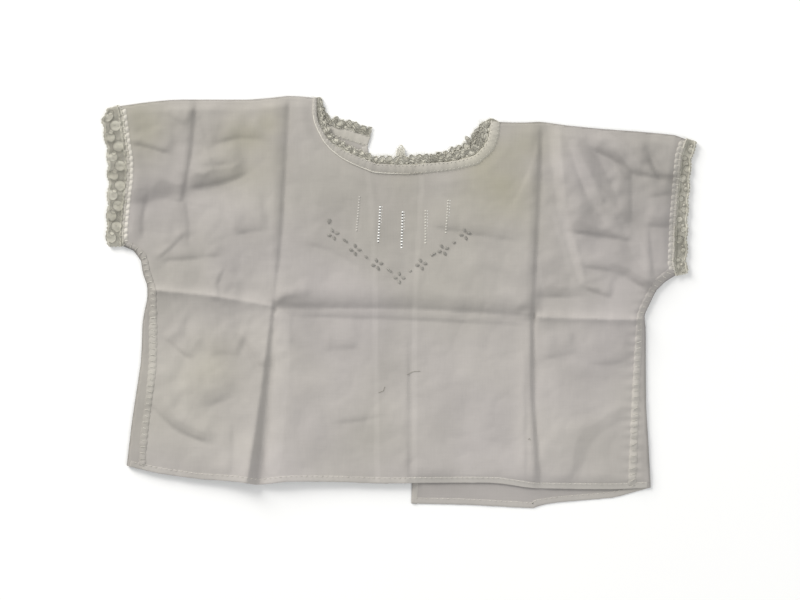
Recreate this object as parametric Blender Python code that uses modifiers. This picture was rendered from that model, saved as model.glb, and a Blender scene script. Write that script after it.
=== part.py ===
"""An infant's white cotton blouse with short sleeves, laid flat with its front up.

The front lies on two back panels that are folded over at the shoulders and seamed at the underarms and
sides. Lace edges the sleeves and the neck, and a bias binding holds the neckline.
X runs across the blouse, Y runs from hem to shoulder, and Z is up from the surface it lies on.
The tables are in millimetres. The scene is in metres.
"""

import math
from collections import namedtuple

import bmesh
import bpy
import numpy as np
from mathutils import Vector
from mathutils import geometry

MM = 0.001

# Cloth
CLOTH = 1.0
LAYER_GAP = 0.3
BACK_TOP = CLOTH
FRONT_LOW = BACK_TOP + LAYER_GAP
FRONT_TOP = FRONT_LOW + CLOTH
SEAM_GAP = 0.3
FOLD_BULGE = 0.6

# Turnings that stand up from the front
HEM_DEPTH = 3.6
HEM_RISE = 0.5
SEAM_BAND_RISE = 0.8
CUFF_ROLL_WIDTH = 4.0
CUFF_ROLL_RISE = 0.5
STEP_RUN = 0.5
BAND_FADE_START = -0.6
BAND_FADE_RUN = 1.4

# How the creases die away towards the folded edges, and towards the cuffs and the neck
FOLD_FADE = 7.0
OPEN_FADE = 8.0
LEFT_AT_OPEN_EDGE = 0.25

# Neck edging
BINDING_CROWN = 0.8
BINDING_STRIPS = 4
LACE_CLOTH = 1.0
LACE_END_RISE = 1.2
LACE_STRIPS = 2

# Sleeve lace
SCALLOP_PITCH = 12.3
SCALLOP_DEPTH = 2.0
SCALLOP_MEAN = 0.6

# Mesh spacing
OUTLINE_PITCH = 8.0
NECK_PITCH = 5.0
LACE_PITCH = 2.05
INNER_PITCH = 9.5
LINE_PITCH = 8.5
CLEAR_OF_LINES = 3.6
CLEAR_OF_EDGE = 2.4
CLEAR_OF_FOLD = 1.4
CURVE_STEPS = 12
SAME_POINT = 1e-4

# Colours and roughness of the finishes
COTTON = ((0.62, 0.59, 0.55), 0.85)
BIAS_BINDING = ((0.72, 0.69, 0.62), 0.8)
COTTON_LACE = ((0.6, 0.58, 0.5), 0.85)

# Outline of the front: across, height
FRONT_HEM = (
    (-162.9, -98.1),
    (-143.1, -102.6),
    (-119.1, -105.9),
    (-95.1, -107.4),
    (-83.1, -109.3),
    (-66.3, -107.4),
    (-35.1, -107.6),
    (-11.1, -108.5),
    (31.5, -108.3),
    (58.5, -108.5),
    (80.1, -111.5),
    (96.9, -111.9),
    (128.1, -112.2),
    (151.2, -111.2),
)
RIGHT_SIDE = (
    (151.2, -111.2),
    (149.7, -82.8),
    (148.5, -64.8),
    (148.2, -40.8),
    (148.1, -14.2),
    (146.5, -9.6),
    (147.7, -7.0),
    (151.5, 0.7),
    (154.7, 7.4),
    (160.9, 13.0),
    (166.8, 16.4),
)
RIGHT_CUFF = (
    (166.8, 16.4),
    (165.2, 24.0),
    (165.6, 30.0),
    (166.2, 48.6),
    (168.0, 70.2),
    (169.5, 86.6),
    (173.0, 97.3),
)
RIGHT_SHOULDER = (
    (173.0, 97.3),
    (168.9, 99.6),
    (144.9, 102.0),
    (120.9, 103.8),
    (96.9, 106.2),
    (87.3, 108.0),
    (72.9, 107.4),
    (60.3, 107.9),
)
LEFT_SHOULDER = (
    (-50.8, 122.4),
    (-63.9, 123.6),
    (-75.9, 122.4),
    (-90.3, 121.2),
    (-133.5, 121.2),
    (-152.7, 119.4),
    (-168.1, 117.2),
)
LEFT_CUFF = (
    (-168.1, 117.2),
    (-166.8, 112.2),
    (-164.7, 96.6),
    (-162.9, 85.2),
    (-162.9, 73.2),
    (-164.4, 61.2),
    (-166.2, 42.0),
    (-165.9, 33.9),
)
LEFT_SIDE = (
    (-165.9, 33.9),
    (-162.5, 32.6),
    (-157.0, 29.9),
    (-154.6, 25.8),
    (-152.7, 14.4),
    (-149.6, 7.2),
    (-151.8, -3.6),
    (-153.3, -10.8),
    (-154.2, -33.8),
    (-156.2, -48.1),
    (-159.7, -71.1),
    (-162.9, -98.1),
)

# Front neckline: across, height, width of the binding, width of the lace
FRONT_NECK = (
    (60.3, 107.9, 5.0, 4.2),
    (59.8, 101.3, 5.2, 5.0),
    (58.1, 95.0, 5.2, 5.2),
    (55.2, 89.9, 5.2, 4.8),
    (47.6, 83.2, 5.0, 4.6),
    (38.8, 80.7, 4.8, 4.6),
    (30.4, 79.0, 5.0, 4.6),
    (17.7, 77.7, 5.2, 4.6),
    (5.8, 76.7, 5.4, 4.6),
    (-6.8, 77.1, 5.4, 4.4),
    (-15.2, 77.9, 5.2, 4.2),
    (-27.8, 83.0, 5.0, 3.6),
    (-34.1, 86.4, 4.4, 3.8),
    (-40.5, 91.4, 3.4, 3.6),
    (-45.1, 96.9, 2.6, 3.4),
    (-49.7, 106.2, 2.2, 3.4),
    (-51.2, 113.3, 2.2, 3.2),
    (-50.8, 122.4, 2.0, 2.6),
)

# Back left neckline, from the shoulder to the slit: across, height, width of the binding, width of the lace
BACK_LEFT_NECK = (
    (-50.8, 122.4, 1.6, 1.8),
    (-48.8, 112.0, 2.2, 2.2),
    (-45.4, 104.4, 3.8, 3.4),
    (-40.5, 101.1, 5.0, 4.6),
    (-34.1, 98.6, 5.8, 4.8),
    (-27.8, 96.5, 6.2, 3.8),
    (-18.6, 93.5, 6.0, 4.6),
)

# Back right neckline, from the shoulder to the slit: across, height, width of the binding, width of the lace
BACK_RIGHT_NECK = (
    (60.3, 107.9, 2.2, 1.6),
    (56.6, 102.0, 4.2, 3.6),
    (53.6, 96.4, 4.4, 4.8),
    (49.6, 91.2, 4.4, 5.4),
    (43.6, 86.4, 4.4, 5.6),
    (37.0, 83.6, 4.4, 4.6),
    (29.6, 81.2, 4.4, 4.2),
    (20.0, 79.4, 4.4, 4.2),
    (12.4, 78.6, 4.4, 4.2),
)

# Edges of the two back panels at the centre back slit, from neck to hem: across, height
BACK_LEFT_SLIT = ((-18.6, 93.5), (-14.7, 61.2), (-12.3, 1.2), (-10.8, -105.6))
BACK_RIGHT_SLIT = ((12.4, 78.6), (11.5, 61.2), (8.1, 1.2), (8.2, -109.1), (7.7, -120.8))

# Hems of the two back panels: across, height
BACK_LEFT_HEM = ((-10.8, -105.6), (-83.1, -105.6), (-119.1, -103.4), (-143.1, -100.4), (-162.9, -98.1))
BACK_RIGHT_HEM = (
    (7.7, -120.8),
    (42.5, -121.6),
    (80.0, -123.6),
    (83.1, -122.1),
    (96.9, -120.0),
    (128.1, -117.3),
    (144.9, -112.9),
    (151.2, -111.2),
)

# Loose end of the back right neck lace: inner across, inner height, outer across, outer height
LOOSE_END = (
    (5.6, 83.2, 5.8, 87.6),
    (-1.0, 83.2, 3.2, 87.6),
    (-1.5, 88.6, 3.4, 89.6),
    (-0.6, 91.8, 3.0, 91.8),
    (1.3, 93.9, 1.9, 93.9),
)

# Width of the sleeve lace: share of the way down the cuff, left width, right width
SLEEVE_LACE = (
    (0.0, 5.6, 5.6),
    (0.1, 10.9, 5.2),
    (0.25, 9.9, 5.0),
    (0.45, 11.0, 5.6),
    (0.6, 9.6, 6.2),
    (0.8, 8.0, 6.6),
    (1.0, 7.6, 6.0),
)

# Middle of the felled seam on each side of the front, from cuff to hem: across, height, width
LEFT_SEAM = (
    (-160.6, 34.2, 2.6),
    (-156.4, 31.6, 3.2),
    (-152.4, 27.0, 4.0),
    (-151.0, 20.0, 4.6),
    (-149.2, 13.3, 4.6),
    (-146.8, 6.0, 4.6),
    (-146.9, -4.0, 4.8),
    (-146.9, -16.0, 5.2),
    (-147.2, -38.0, 5.2),
    (-149.4, -58.0, 4.6),
    (-152.2, -79.0, 4.8),
    (-153.5, -96.6, 4.2),
)
RIGHT_SEAM = (
    (161.0, 17.4, 4.4),
    (155.4, 12.4, 4.6),
    (151.2, 6.0, 4.4),
    (147.6, -1.0, 4.4),
    (144.4, -9.0, 4.4),
    (143.9, -17.7, 4.6),
    (143.1, -33.0, 4.6),
    (142.3, -46.0, 4.4),
    (141.8, -60.0, 5.0),
    (139.8, -108.0, 5.4),
)

# Pressed folds and soft creases of the front. A valley is low along its line, between two raised sides.
# name, form, start across, start height, middle across, middle height, end across, end height,
# rise at the start, rise at the end, half width at the start, half width at the end, steeper side
FOLDS = (
    ("left_pressed", "valley", -65.4, 121.6, -70.7, 25.0, -83.6, -107.4, 1.5, 2.4, 4.4, 7.0, 0.2),
    ("right_pressed", "valley", 85.6, 106.4, 82.0, 20.0, 82.6, -109.8, 1.5, 1.8, 4.4, 5.5, 0.2),
    ("cross_left", "ridge", -142.6, 7.4, -112.0, 3.5, -80.0, -1.4, 1.9, 1.6, 4.0, 4.0, -0.2),
    ("cross_middle", "valley", -68.0, -3.6, 2.0, -5.4, 76.0, -7.4, 1.5, 1.5, 6.0, 6.0, 0.2),
    ("cross_right", "ridge", 88.0, -8.8, 115.0, -8.6, 140.4, -9.0, 1.9, 1.9, 4.0, 4.0, -0.2),
    ("sleeve_left_upright", "valley", -120.9, 114.0, -123.0, 92.0, -131.0, 58.0, 0.9, 0.9, 3.4, 4.2, 0.2),
    ("sleeve_left_slant", "valley", -128.0, 66.0, -110.0, 71.0, -91.0, 77.0, 1.1, 1.2, 4.5, 5.0, 0.2),
    ("sleeve_left_hook", "valley", -91.0, 77.0, -84.0, 84.0, -82.0, 97.0, 1.2, 0.7, 5.0, 5.0, 0.2),
    ("sleeve_left_short", "ridge", -157.0, 97.0, -147.0, 94.0, -137.0, 90.0, 0.9, 0.9, 3.2, 3.2, 0.2),
    ("sleeve_left_low", "ridge", -152.0, 52.0, -151.0, 44.0, -151.0, 36.0, 0.8, 0.8, 4.0, 4.0, 0.2),
    ("fan_ridge", "ridge", 90.4, 102.0, 97.0, 60.0, 109.0, 10.0, 1.9, 1.0, 4.5, 5.0, 0.2),
    ("fan_middle", "ridge", 104.0, 95.0, 118.0, 63.0, 129.0, 46.0, 1.5, 0.8, 5.0, 5.0, 0.3),
    ("fan_outer", "valley", 118.0, 96.0, 128.0, 88.0, 134.0, 66.0, 1.1, 0.8, 4.0, 4.0, 0.2),
    ("sleeve_right_low", "valley", 107.0, 49.0, 122.0, 43.0, 138.0, 36.0, 1.0, 0.9, 4.4, 4.4, 0.3),
    ("sleeve_right_cuff", "ridge", 150.0, 84.0, 154.0, 76.0, 163.0, 74.0, 0.9, 0.8, 3.6, 3.6, 0.2),
    ("underarm_right", "valley", 122.0, 22.0, 134.0, 17.0, 146.0, 8.0, 0.9, 0.9, 3.8, 3.8, 0.3),
    ("skirt_left", "ridge", -142.0, -60.0, -131.0, -72.0, -119.0, -84.0, 0.9, 1.0, 6.0, 6.0, 0.2),
    ("skirt_right", "ridge", 104.0, -46.0, 112.0, -68.0, 116.0, -92.0, 0.8, 0.9, 6.5, 6.5, 0.2),
)

# Slow unevenness of the cloth
SWELL = 0.35
SWELL_LENGTH_X = 61.0
SWELL_LENGTH_Y = 47.0

Fold = namedtuple("Fold", "name form x0 y0 x1 y1 x2 y2 rise_start rise_end half_start half_end steeper")


def unit(vector):
    """The vector at a length of one."""
    length = math.hypot(vector[0], vector[1])
    return (vector[0] / length, vector[1] / length)


def smooth_line(rows, pitch):
    """Points at an even pitch along a soft curve through the rows, and all their other columns with them."""
    rows = np.array(rows, float)
    ends = np.vstack((2 * rows[0] - rows[1], rows, 2 * rows[-1] - rows[-2]))
    dense = []
    for i in range(1, len(ends) - 2):
        before, start, stop, after = ends[i - 1 : i + 3]
        for t in np.linspace(0, 1, CURVE_STEPS, endpoint=False):
            bend_start = (stop - before) / 4
            bend_stop = (after - start) / 4
            dense.append(
                (2 * t**3 - 3 * t**2 + 1) * start
                + (t**3 - 2 * t**2 + t) * bend_start
                + (3 * t**2 - 2 * t**3) * stop
                + (t**3 - t**2) * bend_stop
            )
    dense.append(rows[-1])
    dense = np.array(dense)
    travel = np.concatenate(([0], np.cumsum(np.hypot(*np.diff(dense[:, :2], axis=0).T))))
    count = max(2, int(round(travel[-1] / pitch)) + 1)
    wanted = np.linspace(0, travel[-1], count)
    return np.column_stack([np.interp(wanted, travel, dense[:, k]) for k in range(dense.shape[1])])


def inward(line):
    """A unit normal at each point of a line, to the left of its direction."""
    step = np.gradient(line[:, :2], axis=0)
    length = np.hypot(step[:, 0], step[:, 1])
    return np.column_stack((-step[:, 1] / length, step[:, 0] / length))


def shifted(line, distance):
    """The line moved to the left of its direction, by one distance or by one for each point."""
    return line[:, :2] + inward(line) * np.reshape(distance, (-1, 1))


def distance_to(point, line):
    """Distance of a point from a line, the signed side, and how far along the line it lies, from 0 to 1."""
    start = line[:-1]
    step = line[1:] - start
    length2 = (step**2).sum(axis=1)
    t = np.clip(((point - start) * step).sum(axis=1) / length2, 0, 1)
    foot = start + step * t[:, None]
    away = point - foot
    reach = np.hypot(away[:, 0], away[:, 1])
    i = int(reach.argmin())
    side = step[i, 0] * away[i, 1] - step[i, 1] * away[i, 0]
    return reach[i], math.copysign(1.0, side), (i + t[i]) / len(start)


def smooth_step(value):
    """A soft rise from 0 to 1 as the value goes from 0 to 1."""
    value = min(max(value, 0.0), 1.0)
    return value * value * (3 - 2 * value)


def fold_line(fold):
    """The soft curve of one fold, through its start, middle and end."""
    return smooth_line(((fold.x0, fold.y0), (fold.x1, fold.y1), (fold.x2, fold.y2)), LINE_PITCH)


def seam_lines():
    """Middle, two edges and widths of the felled seam on each side of the front."""
    found = []
    for rows in (LEFT_SEAM, RIGHT_SEAM):
        line = smooth_line(rows, LINE_PITCH)
        half = line[:, 2] / 2
        found.append((line[:, :2], shifted(line, half), shifted(line, -half), line[:, 2]))
    return found


class FrontForm:
    """Height of the front's upper face above the surface at any place."""

    def __init__(self):
        self.folds = [(fold, fold_line(fold)) for fold in (Fold(*row) for row in FOLDS)]
        self.seams = seam_lines()
        self.hem = smooth_line(FRONT_HEM, OUTLINE_PITCH)[:, :2]
        self.cuffs = [smooth_line(arc, OUTLINE_PITCH)[:, :2] for arc in (LEFT_CUFF, RIGHT_CUFF)]
        self.neck = smooth_line(FRONT_NECK, NECK_PITCH)[:, :2]
        self.turned = [
            smooth_line(arc, OUTLINE_PITCH)[:, :2]
            for arc in (LEFT_SIDE, RIGHT_SIDE, LEFT_SHOULDER, RIGHT_SHOULDER)
        ]

    def rise(self, point):
        """How far the folds and the slow swell lift the cloth here."""
        total = 0.0
        for fold, line in self.folds:
            reach, side, along = distance_to(point, line)
            width = fold.half_start + (fold.half_end - fold.half_start) * along
            width *= 1 + side * fold.steeper
            height = fold.rise_start + (fold.rise_end - fold.rise_start) * along
            share = reach / width
            if fold.form == "ridge":
                total += height * math.exp(-(share**2))
            else:
                total += height * share**2 * math.exp(1 - share**2)
        wave_x = math.sin(point[0] / SWELL_LENGTH_X * math.tau)
        wave_y = math.cos(point[1] / SWELL_LENGTH_Y * math.tau)
        return total + SWELL * (1 + wave_x * wave_y)

    def band(self, point):
        """How far the turnings stand up here."""
        tall = 0.0
        for middle, _, _, width in self.seams:
            reach, _, along = distance_to(point, middle)
            edge = np.interp(along, np.linspace(0, 1, len(width)), width) / 2
            tall = max(tall, SEAM_BAND_RISE * smooth_step((edge + STEP_RUN - reach) / STEP_RUN))
        reach = distance_to(point, self.hem)[0]
        tall = max(tall, HEM_RISE * smooth_step((HEM_DEPTH + STEP_RUN - reach) / STEP_RUN))
        for cuff in self.cuffs:
            reach = distance_to(point, cuff)[0]
            tall = max(tall, CUFF_ROLL_RISE * smooth_step((CUFF_ROLL_WIDTH + STEP_RUN - reach) / STEP_RUN))
        return tall

    def top(self, point):
        """Height of the upper face here."""
        from_fold = min(distance_to(point, line)[0] for line in self.turned)
        from_open = min(distance_to(point, line)[0] for line in (*self.cuffs, self.neck))
        open_fade = LEFT_AT_OPEN_EDGE + (1 - LEFT_AT_OPEN_EDGE) * smooth_step(from_open / OPEN_FADE)
        lie = self.rise(point) * smooth_step(from_fold / FOLD_FADE) * open_fade
        return FRONT_TOP + lie + self.band(point) * smooth_step((from_fold - BAND_FADE_START) / BAND_FADE_RUN)


def inside(point, outline):
    """Whether the point lies within a closed outline."""
    crossings = 0
    for (x0, y0), (x1, y1) in zip(outline, np.roll(outline, -1, axis=0)):
        if (y0 > point[1]) != (y1 > point[1]):
            crossings += point[0] < x0 + (point[1] - y0) / (y1 - y0) * (x1 - x0)
    return crossings % 2 == 1


def triangulated(outline, lines, inner_points):
    """Flat triangles inside a closed outline that keep the given lines as edges."""
    points = [Vector(p) for p in outline]
    edges = [(i, (i + 1) % len(outline)) for i in range(len(outline))]
    for line in lines:
        first = len(points)
        points += [Vector(p) for p in line]
        edges += [(first + i, first + i + 1) for i in range(len(line) - 1)]
    points += [Vector(p) for p in inner_points]
    found = geometry.delaunay_2d_cdt(points, edges, [list(range(len(outline)))], 1, SAME_POINT)
    places = [tuple(p) for p in found[0]]
    faces = [tuple(face) for face in found[2] if inside(np.mean([places[i] for i in face], axis=0), outline)]
    return places, faces


def spread_points(outline, lines):
    """Evenly spaced points inside the outline, clear of its edge and of the lines."""
    closed = np.vstack((outline, outline[:1]))
    low = outline.min(axis=0)
    high = outline.max(axis=0)
    found = []
    step_y = INNER_PITCH * math.sqrt(3) / 2
    for j in range(int((high[1] - low[1]) / step_y) + 1):
        shift = INNER_PITCH / 2 * (j % 2)
        for i in range(int((high[0] - low[0]) / INNER_PITCH) + 1):
            point = np.array((low[0] + shift + i * INNER_PITCH, low[1] + j * step_y))
            if not inside(point, outline) or distance_to(point, closed)[0] < CLEAR_OF_EDGE:
                continue
            if all(distance_to(point, line)[0] > CLEAR_OF_LINES for line in lines):
                found.append(point)
    return found


def kept_inside(line, outline, clear):
    """The longest unbroken run of a line's points that lies inside an outline and this far from it."""
    closed = np.vstack((outline, outline[:1]))
    longest = []
    run = []
    for point in line:
        if inside(point, outline) and distance_to(point, closed)[0] > clear:
            run.append(point)
        else:
            run = []
        if len(run) > len(longest):
            longest = list(run)
    return np.array(longest)


def material_of(name, colour, roughness):
    """A plain material of one colour."""
    material = bpy.data.materials.new(name)
    material.use_nodes = True
    shader = material.node_tree.nodes["Principled BSDF"]
    shader.inputs["Base Color"].default_value = (*colour, 1.0)
    shader.inputs["Roughness"].default_value = roughness
    material.diffuse_color = (*colour, 1.0)
    return material


def finished(name, bm, collection, material, smooth):
    """A named object from a bmesh in millimetres."""
    bmesh.ops.scale(bm, vec=(MM, MM, MM), verts=bm.verts)
    bmesh.ops.recalc_face_normals(bm, faces=bm.faces)
    mesh = bpy.data.meshes.new(name)
    bm.to_mesh(mesh)
    bm.free()
    mesh.materials.append(material)
    for polygon in mesh.polygons:
        polygon.use_smooth = smooth
    made = bpy.data.objects.new(name, mesh)
    collection.objects.link(made)
    return made


def thickened(made, thickness):
    """Gives a surface its cloth thickness, on the side away from its outer face."""
    solid = made.modifiers.new("Cloth", "SOLIDIFY")
    solid.thickness = thickness * MM
    solid.offset = -1.0
    solid.use_even_offset = True
    solid.use_quality_normals = True
    return made


def body(collection, material):
    """The front and both back panels in one, folded over at the shoulders, the underarms and the sides."""
    form = FrontForm()
    arcs = {
        "hem": smooth_line(FRONT_HEM, OUTLINE_PITCH)[:, :2],
        "right_side": smooth_line(RIGHT_SIDE, OUTLINE_PITCH)[:, :2],
        "right_cuff": smooth_line(RIGHT_CUFF, OUTLINE_PITCH)[:, :2],
        "right_shoulder": smooth_line(RIGHT_SHOULDER, OUTLINE_PITCH)[:, :2],
        "neck": smooth_line(FRONT_NECK, NECK_PITCH)[:, :2],
        "left_shoulder": smooth_line(LEFT_SHOULDER, OUTLINE_PITCH)[:, :2],
        "left_cuff": smooth_line(LEFT_CUFF, OUTLINE_PITCH)[:, :2],
        "left_side": smooth_line(LEFT_SIDE, OUTLINE_PITCH)[:, :2],
    }
    outline = np.vstack([arc[:-1] for arc in arcs.values()])
    starts = dict(zip(arcs, np.cumsum([0] + [len(arc) - 1 for arc in arcs.values()])))
    turned = np.zeros(len(outline), bool)
    for name in ("right_side", "right_shoulder", "left_shoulder", "left_side"):
        for k in range(len(arcs[name])):
            turned[(starts[name] + k) % len(outline)] = True
    normals = inward(np.vstack((outline[-1:], outline, outline[:1])))[1:-1]

    lines = []
    for _, left, right, _ in form.seams:
        for line, way in ((left, 1), (right, -1)):
            for shift in (0.0, STEP_RUN):
                lines.append(kept_inside(shifted(line, way * shift), outline, CLEAR_OF_FOLD))
    hem = arcs["hem"]
    for shift in (HEM_DEPTH, HEM_DEPTH + STEP_RUN):
        lines.append(kept_inside(shifted(hem, shift)[2:-2], outline, CLEAR_OF_FOLD))
    for name in ("left_cuff", "right_cuff"):
        for shift in (CUFF_ROLL_WIDTH, CUFF_ROLL_WIDTH + STEP_RUN):
            lines.append(kept_inside(shifted(arcs[name], shift)[1:-1], outline, CLEAR_OF_FOLD))
    for fold, line in form.folds:
        width = np.linspace(fold.half_start, fold.half_end, len(line))
        for side in (0.0, -1.0, 1.0):
            reach = side * width * (1 + side * fold.steeper)
            lines.append(kept_inside(shifted(line, reach), outline, CLEAR_OF_FOLD))
    lines = [line for line in lines if len(line) > 1]
    points, faces = triangulated(outline, lines, spread_points(outline, lines))

    bm = bmesh.new()
    count = len(outline)
    verts = []
    for k, point in enumerate(points):
        x, y = point
        if k < count and turned[k]:
            x, y = np.array(point) + normals[k] * FOLD_BULGE
            verts.append(bm.verts.new((x, y, FRONT_TOP)))
        else:
            verts.append(bm.verts.new((x, y, form.top(np.array(point)))))
    for face in faces:
        bm.faces.new([verts[i] for i in face])

    def wrap(names):
        """Carries the folded edges round to the underside and returns the lower vertex of each."""
        low = {}
        for name in names:
            chain = [(starts[name] + k) % count for k in range(len(arcs[name]))]
            rings = []
            for k in chain:
                if k not in low:
                    x, y = outline[k]
                    inset = outline[k] + normals[k] * FOLD_BULGE
                    low[k] = (
                        bm.verts.new((x, y, FRONT_TOP / 2)),
                        bm.verts.new((inset[0], inset[1], 0.0)),
                    )
                rings.append((verts[k], *low[k]))
            for (a0, a1, a2), (b0, b1, b2) in zip(rings, rings[1:]):
                bm.faces.new((a1, b1, b0, a0))
                bm.faces.new((a2, b2, b1, a1))
        return {k: pair[1] for k, pair in low.items()}

    low = wrap(("right_side", "right_shoulder"))
    low.update(wrap(("left_shoulder", "left_side")))

    panels = (
        ("right_side", "right_cuff", "right_shoulder", BACK_RIGHT_NECK, BACK_RIGHT_SLIT, BACK_RIGHT_HEM),
        ("left_shoulder", "left_cuff", "left_side", BACK_LEFT_NECK, BACK_LEFT_SLIT, BACK_LEFT_HEM),
    )
    for first_arc, cuff, second_arc, neck, slit, back_hem in panels:
        ring = [low[(starts[first_arc] + k) % count] for k in range(len(arcs[first_arc]))]
        ring += [bm.verts.new((*p, 0.0)) for p in arcs[cuff][1:-1]]
        ring += [low[(starts[second_arc] + k) % count] for k in range(len(arcs[second_arc]))]
        slit_line = smooth_line(slit, OUTLINE_PITCH * 2)
        hem_line = smooth_line(back_hem, OUTLINE_PITCH)
        neck_line = smooth_line(neck, NECK_PITCH)[:, :2]
        free = np.vstack((neck_line[1:], slit_line[1:], hem_line[1:-1]))
        if first_arc == "left_shoulder":
            free = free[::-1]
        ring += [bm.verts.new((*p, 0.0)) for p in free]
        edges = []
        for a, b in zip(ring, ring[1:] + ring[:1]):
            edges.append(bm.edges.get((a, b)) or bm.edges.new((a, b)))
        bmesh.ops.triangle_fill(bm, use_beauty=True, edges=edges, normal=(0, 0, -1))
    return thickened(finished("body", bm, collection, material, True), CLOTH)


def strip(name, inner, outer, across, low, high, crown, collection, material):
    """A flat band between two lines, with a softly raised upper face and a flat lower one."""
    bm = bmesh.new()
    bmesh.ops.create_grid(bm, x_segments=len(inner) - 1, y_segments=across, size=1.0)
    verts = sorted(bm.verts, key=lambda v: (round(v.co.x, 5), round(v.co.y, 5)))
    for i, vert in enumerate(verts):
        row, column = divmod(i, across + 1)
        t = column / across
        place = inner[row] * (1 - t) + outer[row] * t
        vert.co = (place[0], place[1], high + crown * (1 - (2 * t - 1) ** 2))
    top = list(bm.faces)
    made = bmesh.ops.extrude_face_region(bm, geom=top, use_keep_orig=True)
    for item in made["geom"]:
        if isinstance(item, bmesh.types.BMVert):
            item.co.z = low
    return finished(name, bm, collection, material, True)


def neck_pieces(collection, binding, lace):
    """Bindings and laces of the three neck edges, each 0.3 mm from the next."""
    edges = (
        ("front", FRONT_NECK, -1, FRONT_LOW, BINDING_CROWN),
        ("back_left", BACK_LEFT_NECK, 1, 0.0, 0.0),
        ("back_right", BACK_RIGHT_NECK, -1, 0.0, 0.0),
    )
    for name, rows, way, low, crown in edges:
        line = smooth_line(rows, NECK_PITCH)
        band_inner = shifted(line, way * SEAM_GAP)
        band_outer = shifted(line, way * (SEAM_GAP + line[:, 2]))
        lace_inner = shifted(line, way * (2 * SEAM_GAP + line[:, 2]))
        lace_outer = shifted(line, way * (2 * SEAM_GAP + line[:, 2] + line[:, 3]))
        if name == "front":
            lace_inner[0, 1] += LACE_END_RISE
            lace_outer[0, 1] += LACE_END_RISE
        if name == "back_right":
            end = np.array(LOOSE_END)
            lace_inner = np.vstack((lace_inner, end[:, :2]))
            lace_outer = np.vstack((lace_outer, end[:, 2:]))
        band = (band_inner, band_outer, BINDING_STRIPS, low, low + CLOTH, crown)
        strip(f"neck_binding_{name}", *band, collection, binding)
        edging = (lace_inner, lace_outer, LACE_STRIPS, low, low + LACE_CLOTH, 0.0)
        strip(f"neck_lace_{name}", *edging, collection, lace)


def sleeve_lace(name, cuff, column, way, collection, material):
    """A ring of lace laid flat: its front layer, its back layer and the two ends where it turns."""
    line = smooth_line(cuff, LACE_PITCH)[:, :2]
    share = np.linspace(0, 1, len(line))
    if cuff[0][1] < cuff[-1][1]:
        line = line[::-1]
        way = -way
    width = np.interp(share, [row[0] for row in SLEEVE_LACE], [row[column] for row in SLEEVE_LACE])
    travel = share * np.hypot(*np.diff(line, axis=0).T).sum()
    scallop = SCALLOP_DEPTH * (np.abs(np.sin(math.pi * travel / SCALLOP_PITCH)) - SCALLOP_MEAN)
    inner = shifted(line, way * SEAM_GAP)
    outer = shifted(line, way * (SEAM_GAP + width + scallop))
    along = unit(line[0] - line[-1])
    rows = []
    for k in range(len(line)):
        rows.append((inner[k], outer[k], FRONT_TOP))
    bulge = np.array(along) * FOLD_BULGE
    rows.append((inner[-1] - bulge, outer[-1] - bulge, FRONT_TOP / 2))
    for k in reversed(range(len(line))):
        rows.append((inner[k], outer[k], 0.0))
    rows.append((inner[0] + bulge, outer[0] + bulge, FRONT_TOP / 2))

    bm = bmesh.new()
    loops = []
    for start, stop, height in rows:
        places = (start, (start + stop) / 2, stop)
        loops.append([bm.verts.new((*p, height)) for p in places])
    for a, b in zip(loops, loops[1:] + loops[:1]):
        for j in range(len(a) - 1):
            bm.faces.new((a[j], a[j + 1], b[j + 1], b[j]))
    made = finished(name, bm, collection, material, True)
    return thickened(made, LACE_CLOTH)


def main():
    for made in list(bpy.data.objects):
        bpy.data.objects.remove(made, do_unlink=True)
    collection = bpy.data.collections.new("infant_blouse")
    bpy.context.scene.collection.children.link(collection)
    cotton = material_of("white_cotton", *COTTON)
    bound = material_of("bias_binding", *BIAS_BINDING)
    lace = material_of("cotton_lace", *COTTON_LACE)
    body(collection, cotton)
    neck_pieces(collection, bound, lace)
    sleeve_lace("sleeve_lace_left", LEFT_CUFF, 1, -1, collection, lace)
    sleeve_lace("sleeve_lace_right", RIGHT_CUFF, 2, -1, collection, lace)


main()
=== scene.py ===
"""An infant's white cotton blouse laid flat: fine cloth, lace, binding, seams, stitches and embroidery.

X runs across the blouse, Y runs from hem to shoulder and Z is up from the surface. Tables are in millimetres,
and the scene is in metres.
"""

import math

import bmesh
import bpy
import numpy as np
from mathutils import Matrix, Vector
from mathutils import noise


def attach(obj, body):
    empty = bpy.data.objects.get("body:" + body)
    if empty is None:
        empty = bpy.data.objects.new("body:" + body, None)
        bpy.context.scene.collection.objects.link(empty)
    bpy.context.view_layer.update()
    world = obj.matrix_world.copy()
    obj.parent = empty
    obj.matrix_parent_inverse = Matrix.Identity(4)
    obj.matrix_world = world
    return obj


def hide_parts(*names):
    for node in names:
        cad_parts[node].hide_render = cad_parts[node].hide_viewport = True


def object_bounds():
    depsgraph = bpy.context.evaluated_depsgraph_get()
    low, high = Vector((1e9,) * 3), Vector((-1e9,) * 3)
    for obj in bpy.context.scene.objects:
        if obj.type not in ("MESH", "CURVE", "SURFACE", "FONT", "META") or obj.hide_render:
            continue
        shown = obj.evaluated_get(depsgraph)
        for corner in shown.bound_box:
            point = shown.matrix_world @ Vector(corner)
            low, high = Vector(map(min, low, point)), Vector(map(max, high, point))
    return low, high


bl_info = {
    "name": "Infant's lace-edged blouse",
    "version": (1, 0, 0),
    "blender": (4, 5, 0),
    "location": "View3D > Sidebar > Blouse",
    "description": "Lays out a cotton blouse with lace, drawn threads and embroidery",
    "category": "Object",
}

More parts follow.
